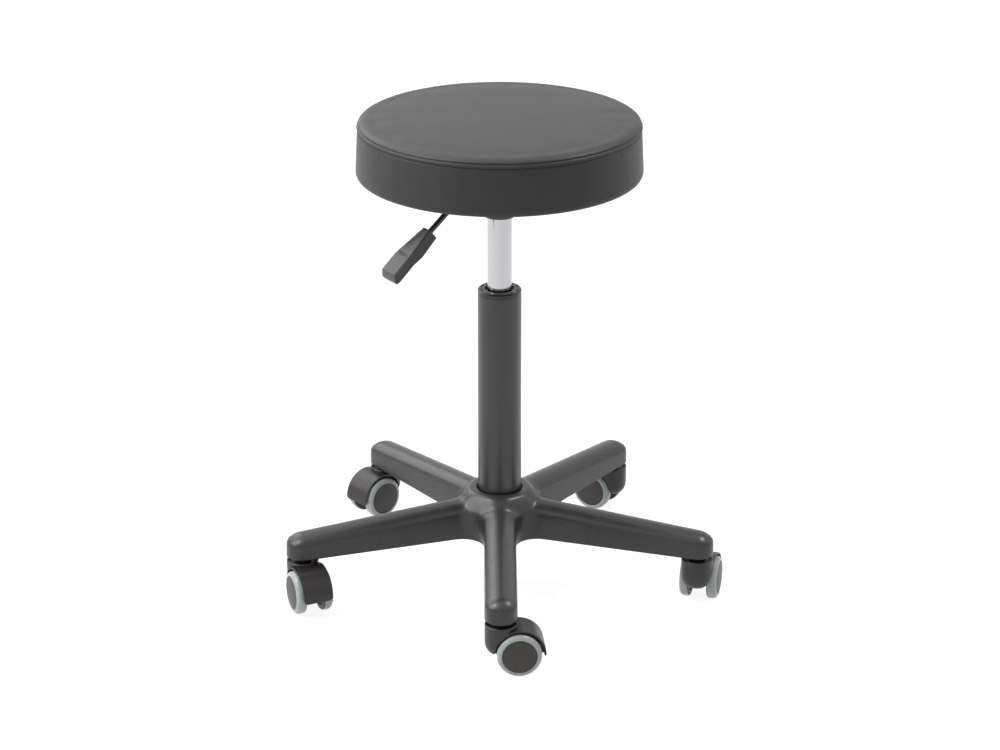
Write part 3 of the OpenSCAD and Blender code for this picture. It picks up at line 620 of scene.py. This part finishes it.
def soften(node, width, material, angle=32, segments=2):
    """A copy of a CAD node with its facets joined and its sharp edges rounded, as its mould or press
    leaves them, which is shown in the node's place."""
    form = cad_form(node)
    bmesh.ops.dissolve_limit(form, angle_limit=FLAT, verts=form.verts, edges=form.edges)
    corner = math.radians(angle)
    sharp = [edge for edge in form.edges if len(edge.link_faces) == 2 and edge.calc_face_angle() > corner]
    bmesh.ops.bevel(
        form, geom=sharp, offset=width, segments=segments, profile=0.5, affect="EDGES", clamp_overlap=True
    )
    mesh = form_mesh(f"{node}_finished", form)
    mesh.set_sharp_from_angle(angle=corner)
    flats = stand_in(node, mesh, material).modifiers.new("flat_faces_first", "WEIGHTED_NORMAL")
    flats.keep_sharp = True


def finish_node(node, material):
    """Gives a CAD node its finish."""
    piece = frame["nodes"][node]
    piece.data.materials.clear()
    piece.data.materials.append(material)


# ---- Star base ----


def star_outline(base, inset):
    """Outline of the arms and the hollow corners between them, drawn in by that much all round, as
    complex plan points listed anticlockwise."""
    half_width = base.arm_width / 2
    half_sector = math.pi / ARMS
    width, hollow = half_width - inset, base.corner_radius + inset
    corner = (half_width + base.corner_radius) * (1 / math.tan(half_sector) + 1j)
    side = np.linspace(corner.real, ARM_REACH, 15)[:-1]
    tip = np.linspace(-math.pi / 2, math.pi / 2, 41)
    bend = np.linspace(-math.pi / 2, 2 * half_sector - 1.5 * math.pi, 27)[1:-1]
    arm = np.concatenate([
        side - 1j * width, ARM_REACH + width * np.exp(1j * tip), side[::-1] + 1j * width,
        corner + hollow * np.exp(1j * bend),
    ])
    return np.concatenate([arm * np.exp(1j * (FRONT_ARM + 2 * half_sector * k)) for k in range(ARMS)])


def shoulder_foot(base):
    """Distance from the lift's axis at which the rise to the hub begins."""
    return (base.arm_width / 2 + base.corner_radius) / math.sin(math.pi / ARMS) - base.corner_radius + 1 * MM


def crest_height(base, distance):
    """Height of the moulding's crest at a distance from the lift's axis."""
    foot = shoulder_foot(base)
    part = np.clip((distance - base.shoulder_radius) / (foot - base.shoulder_radius), 0, 1)
    blend = part * part * (3 - 2 * part)
    arm = UNDERSIDE + base.tip_height + (ARM_REACH - distance) * math.tan(base.arm_pitch)
    return HUB_TOP * (1 - blend) + arm * blend


def plan_ring(points, height):
    """A ring of 3-D points from complex plan points and their heights."""
    return np.column_stack([points.real, points.imag, np.broadcast_to(height, points.shape)])


def star_rings(base):
    """Rings of the moulding's outside, from the tube's recess out over the crest, down the rounded edges
    and the drafted sides to just above the underside."""
    crown, edge, half_width = base.crown_radius, base.edge_radius, base.arm_width / 2
    edge_slope = math.asin((half_width - edge) / (crown - edge))
    edge_drop = crown - (crown - edge) * math.cos(edge_slope)
    foot = shoulder_foot(base)
    mouth, curl = TUBE_RADIUS + base.recess_width, base.recess_curl
    core = mouth + curl
    ridge = star_outline(base, half_width)
    toward = ridge / np.abs(ridge)
    reduced = np.minimum(1, (np.abs(ridge) - core) / (foot - core))
    floor = HUB_TOP - base.recess_depth
    rings = [plan_ring(toward * (TUBE_RADIUS + 0.1 * MM), floor), plan_ring(toward * mouth, floor)]
    for turn in np.linspace(0, math.pi / 2, 5)[:-1]:
        rings.append(plan_ring(toward * (core - curl * math.cos(turn)), HUB_TOP - curl * (1 - math.sin(turn))))
    for radius in [core, *np.linspace(base.shoulder_radius, foot, 20)[:-1]]:
        distance = core + (radius - core) * reduced
        rings.append(plan_ring(toward * distance, crest_height(base, distance)))
    for slope in np.linspace(0, edge_slope, 12)[:-1]:
        points = star_outline(base, half_width - crown * math.sin(slope))
        rings.append(plan_ring(points, crest_height(base, np.abs(points)) - crown * (1 - math.cos(slope))))
    for slope in np.linspace(edge_slope, math.pi / 2, 10):
        points = star_outline(base, edge * (1 - math.sin(slope)))
        rings.append(plan_ring(points, crest_height(base, np.abs(points)) - edge_drop + edge * math.cos(slope)))
    rings.append(plan_ring(star_outline(base, -base.side_draft), UNDERSIDE + base.lip_radius))
    return rings


def star_lip(base):
    """Rings of the rounded lower edge, which turns in under the moulding's wall."""
    lip = base.lip_radius
    rings = []
    for turn in np.linspace(math.pi / 2, 0, 5)[1:]:
        points = star_outline(base, lip * (1 - math.sin(turn)) - base.side_draft)
        rings.append(plan_ring(points, UNDERSIDE + lip * (1 - math.cos(turn))))
    rings.append(plan_ring(star_outline(base, 2 * lip - base.side_draft), UNDERSIDE + 0.02 * MM))
    return rings


# ---- Caster wheels ----


def disc_profile(caster):
    """Section of a wheel disc as (radius, distance from the caster's middle), from the middle of its
    domed face out and back to the blind bore for the axle."""
    face, edge, radius = caster.width / 2, 0.4 * MM, caster.disc_radius
    rim = radius - edge
    low = face - caster.dome - edge
    step, flange_edge = face - 3.8 * MM, caster.wheel_radius - 1.2 * MM
    core, hub, bore = caster.tyre_root, caster.hub_radius, caster.bore_radius
    inner, flange = caster.wheel_inside, caster.flange_inside
    web = flange + 2 * MM
    return [
        *[(rim * t, face - caster.dome * t * t) for t in np.linspace(0.02, 1, 24)],
        *arc((rim, low), (edge, edge), 75, 0, 4), (radius, step), (core, step),
        (core, flange + 0.8 * MM), (flange_edge, flange + 0.8 * MM),
        (flange_edge + 0.2 * MM, flange + 0.6 * MM), (flange_edge + 0.2 * MM, flange + 0.2 * MM),
        (flange_edge, flange), (core - 2 * MM, flange),
        (core - 3 * MM, web), (hub + 0.4 * MM, web), (hub, web - 0.4 * MM),
        (hub, inner + 0.3 * MM), (hub - 0.3 * MM, inner), (bore, inner), (bore, caster.bore_end),
    ]


def tyre_profile(caster):
    """Section of a tread as (radius, distance from the caster's middle), all round it."""
    wheel, core, radius = caster.wheel_radius, caster.tyre_root, caster.disc_radius
    shoulder = wheel - radius - 0.5 * MM
    inside = caster.flange_inside + 0.85 * MM
    height = caster.width / 2 - caster.dome - shoulder + 0.4 * MM
    step = caster.width / 2 - 3.7 * MM
    gap, heel, lip = 0.08 * MM, 0.8 * MM, 0.4 * MM
    section = [
        (core + gap, inside), *arc((wheel - heel, inside + heel), (heel, heel), 270, 360, 6),
        *arc((wheel - shoulder, height), (shoulder, shoulder), 0, 90, 18),
        *arc((radius + gap + lip, height + shoulder - lip), (lip, lip), 100, 180, 4),
        (radius + gap, step), (core + gap, step),
    ]
    return section[::-1]


# ---- Cushion ----


def cushion_body(cushion):
    """Half section of the plain padded form, from the crown's centre out and down to the hem's edge, as
    (radius, height) points that lie closer together round the seams, with how far along the section each
    lies, and how far along the crease is."""
    crease_radius = SEAT_RADIUS - cushion.side_lean
    crease_height = SEAT_TOP - cushion.crease_drop
    roll = cushion.roll_width
    roll_height = 6.5 * MM
    flat = crease_radius - roll
    rise = cushion.crease_drop - roll_height
    crown = [(flat * t, SEAT_TOP - rise * t**2.4) for t in np.linspace(0.01, 1, 60)[:-1]]
    edge = arc((flat, crease_height), (roll, roll_height), 90, 0, 40)
    low_round = cushion.lower_round
    side_low = SEAT_BOTTOM + low_round
    side = [
        (crease_radius + (SEAT_RADIUS - crease_radius) * t**0.8, crease_height + (side_low - crease_height) * t)
        for t in np.linspace(0, 1, 200)[1:-1]
    ]
    turn = arc((SEAT_RADIUS - low_round, side_low), (low_round, low_round), 0, -90, 20)
    inner = SEAT_RADIUS - cushion.hem_width
    under = [(radius, SEAT_BOTTOM) for radius in np.linspace(SEAT_RADIUS - low_round, inner, 30)[1:]]
    fine = np.array(crown + edge + side + turn + under)
    along = np.concatenate([[0], np.cumsum(np.linalg.norm(np.diff(fine, axis=0), axis=1))])
    outer = len(crown) + 1
    crease = np.interp(-crease_height, -fine[outer:, 1], along[outer:])
    apart = np.minimum(np.abs(along - crease), np.abs(along - crease - cushion.welt_width))
    step = np.interp(apart, [2 * MM, 12 * MM], [0.45 * MM, 2.6 * MM])
    rows = np.concatenate([[0], np.cumsum(np.diff(along) / (0.5 * (step[1:] + step[:-1])))])
    marks = np.interp(np.linspace(0, rows[-1], int(rows[-1]) + 1), rows, along)
    marks[np.argmin(np.abs(marks - crease))] = crease
    body = np.column_stack([np.interp(marks, along, fine[:, 0]), np.interp(marks, along, fine[:, 1])])
    return body, marks, crease


def settle(body, cushion):
    """The surface that the cover takes when the padding presses on it: Blender's cloth, on a remeshed
    copy of the plain form that starts a little small, with its underside held by the board."""
    shrink = cushion.swell_limit * 0.6
    centre, near_board, frames = 0.5 * MM, 20 * MM, 20
    start = [(max(r - shrink, centre), z - shrink if z > SEAT_BOTTOM + near_board else z) for r, z in body]
    padding = add_object("padding", ring_mesh("padding_start", turned(start, full_turn(96))))
    remesh = padding.modifiers.new("remesh", "REMESH")
    remesh.mode = "VOXEL"
    remesh.voxel_size = 5 * MM
    graph = bpy.context.evaluated_depsgraph_get()
    plain = bpy.data.meshes.new_from_object(padding.evaluated_get(graph))
    padding.modifiers.clear()
    padding.data = plain
    rest = np.array([v.co for v in plain.vertices])
    held = padding.vertex_groups.new(name="on_board")
    held.add([i for i, p in enumerate(rest) if p[2] < SEAT_BOTTOM + 3 * MM], 1.0, "REPLACE")
    cloth = padding.modifiers.new("cloth", "CLOTH")
    cloth.settings.quality = 6
    cloth.settings.mass = 0.25
    cloth.settings.tension_stiffness = 30
    cloth.settings.compression_stiffness = 30
    cloth.settings.bending_stiffness = 2
    cloth.settings.use_pressure = True
    cloth.settings.uniform_pressure_force = cushion.pressure
    cloth.settings.vertex_group_mass = held.name
    cloth.settings.effector_weights.gravity = 0
    cloth.point_cache.frame_end = frames
    for number in range(1, frames + 1):
        bpy.context.scene.frame_set(number)
    graph = bpy.context.evaluated_depsgraph_get()
    moved = np.array([v.co for v in padding.evaluated_get(graph).data.vertices]) - rest
    bpy.context.scene.frame_set(1)
    far = np.linalg.norm(moved, axis=1)
    moved *= np.minimum(1, cushion.swell_limit / np.maximum(far, 1e-9))[:, None]
    points = [Vector(p) for p in rest + moved]
    surface = BVHTree.FromPolygons(points, [tuple(p.vertices) for p in plain.polygons])
    bpy.data.objects.remove(padding)
    return surface


def swell(rings, normals, surface, limit):
    """How far each point of the rings has to move along its normal to lie on the settled surface,
    evened out between neighbours."""
    found = np.zeros(rings.shape[:2])
    depth, reach = 12 * MM, 30 * MM
    for i, (ring, outward) in enumerate(zip(rings, normals)):
        for j, (point, normal) in enumerate(zip(ring, outward)):
            hit = surface.ray_cast(Vector(point - normal * depth), Vector(normal), reach)
            found[i, j] = hit[3] - depth if hit[0] is not None else 0.0
    found = np.clip(found, -limit, limit)
    for _ in range(24):
        found = (found + np.roll(found, 1, 1) + np.roll(found, -1, 1)) / 3
        found[1:-1] = (found[:-2] + found[1:-1] + found[2:]) / 3
    return found


def bell(distance, width):
    """A smooth bump that is 1 at no distance and fades over the width."""
    return np.exp(-((distance / width) ** 2))


class STOOL_OT_cushion(Operator):
    """Padded cushion: crowned top panel, creased and topstitched edge, side band and gathered hem"""

    bl_idname = "stool.cushion"
    bl_label = "Cushion"

    def execute(self, context):
        cushion = context.scene.stool_cushion
        finish = context.scene.stool_finish
        profile, steps, crease = cushion_body(cushion)
        stitches = round(2 * math.pi * SEAT_RADIUS / cushion.stitch_pitch)
        angles = full_turn(3 * stitches)
        along = np.gradient(profile, axis=0)
        outward = np.column_stack([-along[:, 1], along[:, 0]])
        outward /= np.linalg.norm(outward, axis=1)[:, None]
        rings = np.array(turned(profile, angles))
        normals = np.array(turned(outward, angles))
        under = profile[:, 1] <= SEAT_BOTTOM + 1e-6
        stitch = crease + cushion.welt_width
        turn_under = steps[under][0]

        # How far the padding pushes the cover out between its seams.
        surface = settle(profile, cushion)
        offset = swell(rings, normals, surface, cushion.swell_limit)
        for panel in (steps < crease, (steps >= crease) & ~under):
            offset[panel] -= np.median(offset[panel])
        free = np.clip(np.minimum(np.abs(steps - crease), np.abs(steps - turn_under)) / (20 * MM), 0, 1)
        offset *= (free * ~under)[:, None]

        # The crease, the line of the topstitch, and the welt that swells between them.
        groove = cushion.crease_depth * bell(steps - crease, 0.6 * MM)
        valley = 0.6 * MM * bell(steps - stitch, 0.9 * MM)
        welt = 0.9 * MM * bell(steps - crease - 0.5 * cushion.welt_width, cushion.welt_width * 0.36)
        offset += (welt - groove - valley)[:, None]

        # Dents that the stitches press, and uneven pulls along both seams.
        rng = np.random.default_rng(7)
        pressed = 0.5 - 0.5 * np.cos(angles * stitches)
        offset -= np.outer(0.35 * MM * bell(steps - stitch, 1.0 * MM), pressed)
        pulls = np.linspace(0, 2 * math.pi, 211)
        pull = np.interp(angles, pulls, rng.normal(0, 1, len(pulls)), period=2 * math.pi)
        offset += np.outer(0.10 * MM * bell(steps - stitch - 4 * MM, 5 * MM), pull)
        offset += np.outer(0.05 * MM * bell(steps - crease + 5 * MM, 5 * MM), np.roll(pull, 40))

        # The seam that closes the band, at the back.
        back_seam = np.abs((angles - math.pi / 2 + math.pi) % (2 * math.pi) - math.pi) * SEAT_RADIUS
        band = ((steps > stitch) & ~under).astype(float)
        offset -= np.outer(band, 1.1 * MM * bell(back_seam, 1.0 * MM) - 0.35 * MM * bell(back_seam, 4 * MM))

        points = rings + normals * offset[:, :, None]
        self.gather(points, profile, under, angles, cushion, rng)
        lip = [
            np.column_stack([points[-1][:, :2] * inset, np.full(len(angles), height)])
            for inset, height in ((0.998, cloth_low.z + 0.2 * MM), (0.994, cloth_high.z))
        ]
        mesh = ring_mesh("cushion", [*points, *lip])
        piece = new_piece("cushion", mesh, leatherette(finish), "seat_unit")
        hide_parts("seat_cover", "seat_foam")
        seam = points[np.argmin(np.abs(steps - stitch))]
        thread = self.topstitch(seam, stitches, cushion)
        new_piece("topstitch", thread, polyester_thread(finish), "seat_unit")
        return {"FINISHED"}

    @staticmethod
    def gather(points, profile, under, angles, cushion, rng):
        """Pleats of the hem, which deepen towards its cut edge under the board."""
        inner = SEAT_RADIUS - cushion.hem_width
        spread = np.cumsum(rng.uniform(0.6, 1.4, cushion.pleats))
        places = np.concatenate([[0], spread / spread[-1]]) * 2 * math.pi
        phase = np.interp(angles, places, np.arange(cushion.pleats + 1)) % 1
        crest = 0.72
        fold = np.where(phase < crest, phase / crest, (1 - phase) / (1 - crest))
        cuts = np.linspace(0, 2 * math.pi, 97)
        ragged = np.interp(angles, cuts, rng.normal(0, 0.6, len(cuts)), period=2 * math.pi)
        for i in np.flatnonzero(under):
            depth = np.clip((SEAT_RADIUS - profile[i, 0]) / cushion.hem_width, 0, 1)
            points[i][:, 2] -= 1.1 * MM * depth**1.5 * fold
            points[i][:, :2] *= (1 + depth**4 * ragged * MM / inner)[:, None]

    @staticmethod
    def topstitch(seam, stitches, cushion):
        """Mesh of the topstitch's thread: one short bowed length in each pair of needle holes."""
        radius = np.linalg.norm(seam[:, :2], axis=1).mean()
        height = seam[:, 2].mean()
        half = cushion.stitch_length / 2 / radius
        up = np.array([0, 0, 1])
        threads = []
        for k in range(stitches):
            middle = 2 * math.pi * (k + 0.5) / stitches
            rings = []
            for t in np.linspace(-1, 1, 7):
                turn = middle + t * half
                stand = 0.55 * MM * (1 - t**4) - 0.25 * MM
                thick = cushion.thread_width / 2 * max(0.35, 1 - t**6)
                out = np.array([math.cos(turn), math.sin(turn), 0])
                centre = out * (radius + stand) + up * (height + 0.10 * MM * t)
                rings.append([centre + thick * (out * math.cos(a) + up * math.sin(a)) for a in full_turn(8)])
            threads.append(ring_mesh("stitch", rings))
        return joined("topstitch", threads)


class STOOL_OT_underside(Operator):
    """Underside of the seat: dust cloth, staples, plate, bolts and board"""

    bl_idname = "stool.underside"
    bl_label = "Underside"

    def execute(self, context):
        cushion = context.scene.stool_cushion
        finish = context.scene.stool_finish
        self.dust_cloth()
        self.staples(cushion)
        paint = black_paint(finish)
        soften("seat_plate", 0.5 * MM, paint)
        soften("cone_socket", 0.5 * MM, paint)
        finish_node("seat_board", plywood())
        zinc = zinc_plated_steel()
        for i in range(1, 5):
            soften(f"seat_bolt_{i}", 0.3 * MM, zinc)
        finish_node("lever_pin", zinc)
        return {"FINISHED"}

    @staticmethod
    def dust_cloth():
        """Thin cloth over the board, laid with faint wrinkles that run out from the plate."""
        angles = full_turn(240)
        around = len(angles)
        plate_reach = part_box("seat_plate")[1].x * 1.15
        level = cloth_low.z + 0.45 * MM
        rings = []
        for radius in np.linspace(4 * MM, CLOTH_RADIUS, 40):
            free = np.clip((radius - plate_reach) / (20 * MM), 0, 1)
            free *= np.clip((CLOTH_RADIUS - radius) / (10 * MM), 0, 1)
            wave = np.sin(angles * 9 + 40 * radius) + 0.6 * np.sin(angles * 23 - 75 * radius)
            height = level - 0.15 * MM * free * wave
            rings.append(np.column_stack([np.cos(angles) * radius, np.sin(angles) * radius, height]))
        faces = [(a, d, c, b) for a, b, c, d in grid_faces(len(rings), around)]
        mesh = plain_mesh("board_cloth", np.concatenate(rings), [*faces, tuple(range(around))])
        piece = new_piece("board_cloth", mesh, spunbond(), "seat_unit")
        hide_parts("dust_cloth")

    @staticmethod
    def staples(cushion):
        """Wire staples that hold the hem to the board."""
        radius = SEAT_RADIUS - 0.62 * cushion.hem_width
        level = SEAT_BOTTOM - 1.15 * MM
        half, leg, thick, bent = 5 * MM, 1.6 * MM, 0.55 * MM, 0.8 * MM
        path = [
            (-half, leg), (-half, bent), *arc((-half + bent, bent), (bent, bent), 180, 270, 5),
            *arc((half - bent, bent), (bent, bent), 270, 360, 5), (half, leg),
        ]
        rings = [
            [(along, thick * math.cos(a), up + thick * 0.5 * math.sin(a)) for a in full_turn(8)]
            for along, up in path
        ]
        staples = []
        for k in range(cushion.staples):
            turn = 2 * math.pi * (k + 0.5) / cushion.staples
            skew = 0.25 * math.sin(7.3 * k)
            place = Matrix.Translation((radius * math.cos(turn), radius * math.sin(turn), level))
            staples.append(ring_mesh("staple", rings))
            staples[-1].transform(place @ Matrix.Rotation(turn + math.pi / 2 + skew, 4, "Z"))
        new_piece("staples", joined("staples", staples), zinc_plated_steel(), "seat_unit")


# ---- Lift, lever and base ----


class STOOL_OT_lift(Operator):
    """Gas lift: painted outer tube, bush, chromed cylinder and what stands inside"""

    bl_idname = "stool.lift"
    bl_label = "Gas lift"

    def execute(self, context):
        finish = context.scene.stool_finish
        soften("column_tube", 0.4 * MM, black_paint(finish))
        soften("guide_bush", 0.35 * MM, acetal(finish))
        finish_node("gas_cylinder", chrome_plating(finish))
        ground = bearing_steel()
        for node in ("thrust_bearing", "bearing_race", "piston_rod"):
            finish_node(node, ground)
        finish_node("piston", turned_aluminium())
        finish_node("rubber_buffer", buffer_rubber())
        finish_node("retaining_clip", spring_steel())
        finish_node("release_button", turned_brass())
        return {"FINISHED"}


class STOOL_OT_lever(Operator):
    """Height lever: painted rod and moulded paddle"""

    bl_idname = "stool.lever"
    bl_label = "Lever"

    def execute(self, context):
        finish = context.scene.stool_finish
        soften("lever_rod", 0.4 * MM, black_paint(finish), angle=50)
        soften("lever_paddle", 0.8 * MM, polypropylene(finish), angle=14, segments=3)
        return {"FINISHED"}


class STOOL_OT_base(Operator):
    """Star base moulded in glass-filled nylon"""

    bl_idname = "stool.base"
    bl_label = "Star base"

    def execute(self, context):
        base = context.scene.stool_base
        rings = star_rings(base)
        lip = star_lip(base)
        skin_points, skin_faces = self.moulded(rings)
        skin = BVHTree.FromPolygons([Vector(point) for point in skin_points], skin_faces)
        points, faces = self.moulded([*rings, *lip])
        inner_points, inner_faces = self.inside(skin, base)
        start = len(points)
        faces += [tuple(start + i for i in face) for face in inner_faces]
        mesh = plain_mesh("star_base_moulding", [*points, *inner_points], faces)
        mesh.set_sharp_from_angle(angle=SHARP)
        nylon = glass_filled_nylon(context.scene.stool_finish)
        piece = new_piece(mesh.name, mesh, nylon, "base")
        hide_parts("star_base")
        return {"FINISHED"}

    @staticmethod
    def moulded(rings):
        """Points and faces of the surface through rings, with its coincident points joined, as along each
        arm's crest, and without the faces that have hardly any area."""
        form = welded(np.concatenate(rings), grid_faces(len(rings), len(rings[0])))
        least = 2e-4  # of the squared perimeter
        flat = [face for face in form.faces if face.calc_area() < least * face.calc_perimeter() ** 2]
        bmesh.ops.delete(form, geom=flat, context="FACES")
        return points_and_faces(form)

    @staticmethod
    def inside(skin, base):
        """Points and faces of the moulding's ribs, pockets and bores: what is left of the CAD node
        without its outside. Its underside is drawn in from the outer edge, to leave room for the lip."""
        form = cad_form("star_base")
        near, alike = 1.6 * MM, 0.3
        outside = []
        for face in form.faces:
            _, normal, _, distance = skin.find_nearest(face.calc_center_median())
            if distance < near and normal.dot(face.normal) > alike:
                outside.append(face)
        bmesh.ops.delete(form, geom=outside, context="FACES")
        for vertex in form.verts:
            _, normal, _, distance = skin.find_nearest(vertex.co)
            if vertex.co.z < UNDERSIDE + 0.1 * MM and distance < near:
                vertex.co -= Vector((normal.x, normal.y, 0)).normalized() * (base.lip_radius + 0.2 * MM)
        bmesh.ops.dissolve_limit(form, angle_limit=FLAT, verts=form.verts, edges=form.edges)
        bmesh.ops.triangulate(form, faces=form.faces)
        return points_and_faces(form)


class STOOL_OT_casters(Operator):
    """Five twin-wheel casters: hoods, stems, axles, discs and treads"""

    bl_idname = "stool.casters"
    bl_label = "Casters"

    def execute(self, context):
        finish = context.scene.stool_finish
        caster = context.scene.stool_caster
        hood = hood_nylon(finish)
        disc = disc_nylon(finish)
        tread = polyurethane_tread(finish)
        zinc = zinc_plated_steel()
        disc_rings = turned(disc_profile(caster), full_turn(128))
        tyre_rings = turned(tyre_profile(caster), full_turn(128))
        for place in PLACES:
            soften(f"{place}_hood", 0.5 * MM, hood)
            soften(f"{place}_stem", 0.3 * MM, zinc)
            finish_node(f"{place}_axle", zinc)
            for side in "ab":
                where = self.axle_place(place, side)
                self.wheel_piece(f"{place}_disc_{side}", disc_rings, False, where, disc)
                self.wheel_piece(f"{place}_tyre_{side}", tyre_rings, True, where, tread)
        return {"FINISHED"}

    @staticmethod
    def axle_place(place, side):
        """Where a wheel that is drawn round the Z axis, with its outer face upwards, goes."""
        centre = Vector(joints[f"{place}_roll_{side}"]["pos_m"])
        low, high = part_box(f"{place}_disc_{side}")
        outward = (low + high) / 2 - centre
        outward.z = 0
        return Matrix.Translation(centre) @ outward.to_track_quat("Z", "Y").to_matrix().to_4x4()

    @staticmethod
    def wheel_piece(node, rings, loop, where, material):
        """Shows a moulded disc or tread in place of its CAD node."""
        mesh = ring_mesh(f"{node}_moulding", rings, loop)
        mesh.transform(where)
        mesh.set_sharp_from_angle(angle=SHARP)
        stand_in(node, mesh, material)


# ---- Stage ----


class STOOL_OT_stage(Operator):
    """Camera, softboxes, pale floor and surroundings"""

    bl_idname = "stool.stage"
    bl_label = "Stage"

    def execute(self, context):
        stage = context.scene.stool_stage
        scene = context.scene
        scene.view_settings.view_transform = "Standard"
        lens = bpy.data.cameras.new("camera")
        lens.sensor_width = 36
        lens.lens = stage.focal_length
        lens.shift_x = stage.shift
        camera = add_object("camera", lens)
        camera.location = (0, -stage.camera_back, stage.camera_up)
        camera.rotation_euler = (math.pi / 2 - stage.camera_tilt, 0, 0)
        scene.camera = camera

        self.softbox("top", (-0.4, 0.25, 2.3), (1.8, 1.4), stage.top_power)
        self.softbox("left", (-2.0, -0.4, 1.9), (2.0, 1.8), stage.left_power)
        self.softbox("back_left", (-1.5, 1.9, 2.0), (1.8, 1.8), stage.back_power)
        self.softbox("right", (2.2, 0.3, 1.6), (1.4, 1.6), stage.right_power)
        self.softbox("right_head", (1.22, 0.24, 2.15), (0.22, 0.22), stage.head_power)
        self.softbox("left_head", (-1.08, -0.29, 2.2), (0.22, 0.22), 0.6 * stage.head_power)
        self.surroundings(scene, stage.ambient)
        self.floor(stage.floor_white)
        return {"FINISHED"}

    @staticmethod
    def softbox(name, place, size, power):
        """A soft rectangular lamp that faces the stool."""
        lamp = bpy.data.lights.new(name, "AREA")
        lamp.shape = "RECTANGLE"
        lamp.size, lamp.size_y = size
        lamp.energy = power
        holder = add_object(name, lamp)
        holder.location = place
        holder.rotation_mode = "QUATERNION"
        facing = Vector((0, 0, SEAT_TOP / 2)) - Vector(place)
        holder.rotation_quaternion = facing.to_track_quat("-Z", "Y")

    @staticmethod
    def surroundings(scene, ambient):
        """An even grey light from all round, which looks plain white where it is seen or mirrored."""
        world = bpy.data.worlds.new("studio")
        world.use_nodes = True
        tree = world.node_tree
        tree.nodes.clear()
        strength = add_node(tree, "MapRange", {"Value": seen_rays(tree), "To Min": ambient, "To Max": 1})
        light = add_node(tree, "Background", {"Color": (1, 1, 1, 1), "Strength": strength})
        add_node(tree, "OutputWorld", {"Surface": light})
        scene.world = world

    @staticmethod
    def floor(white):
        """A wide pale floor under the wheels."""
        reach = 30
        corners = [(-reach, -reach, 0), (reach, -reach, 0), (reach, reach, 0), (-reach, reach, 0)]
        floor = add_object("floor", plain_mesh("floor", corners, [(0, 1, 2, 3)]))
        floor.data.materials.append(studio_floor(white))


# ---- Panel and registration ----

STEPS = (
    STOOL_OT_stage,
    STOOL_OT_base,
    STOOL_OT_casters,
    STOOL_OT_lift,
    STOOL_OT_lever,
    STOOL_OT_underside,
    STOOL_OT_cushion,
)
SETTINGS = {
    "stool_base": StoolBaseSettings,
    "stool_caster": StoolCasterSettings,
    "stool_cushion": StoolCushionSettings,
    "stool_finish": StoolFinishSettings,
    "stool_stage": StoolStageSettings,
}


class STOOL_PT_panel(Panel):
    """Lists the stool's pieces and settings"""

    bl_label = "Swivel stool"
    bl_idname = "STOOL_PT_panel"
    bl_space_type = "VIEW_3D"
    bl_region_type = "UI"
    bl_category = "Stool"

    def draw(self, context):
        for step in STEPS:
            self.layout.operator(step.bl_idname)
        for name, group in SETTINGS.items():
            box = self.layout.box()
            for setting in group.__annotations__:
                box.prop(getattr(context.scene, name), setting)


def register():
    for group in SETTINGS.values():
        bpy.utils.register_class(group)
    for name, group in SETTINGS.items():
        setattr(bpy.types.Scene, name, PointerProperty(type=group))
    for cls in (*STEPS, STOOL_PT_panel):
        bpy.utils.register_class(cls)


def unregister():
    for cls in (STOOL_PT_panel, *reversed(STEPS)):
        bpy.utils.unregister_class(cls)
    for name, group in SETTINGS.items():
        delattr(bpy.types.Scene, name)
        bpy.utils.unregister_class(group)


def main():
    register()
    for step in STEPS:
        group, action = step.bl_idname.split(".")
        getattr(getattr(bpy.ops, group), action)()


if __name__ == "__main__":
    main()
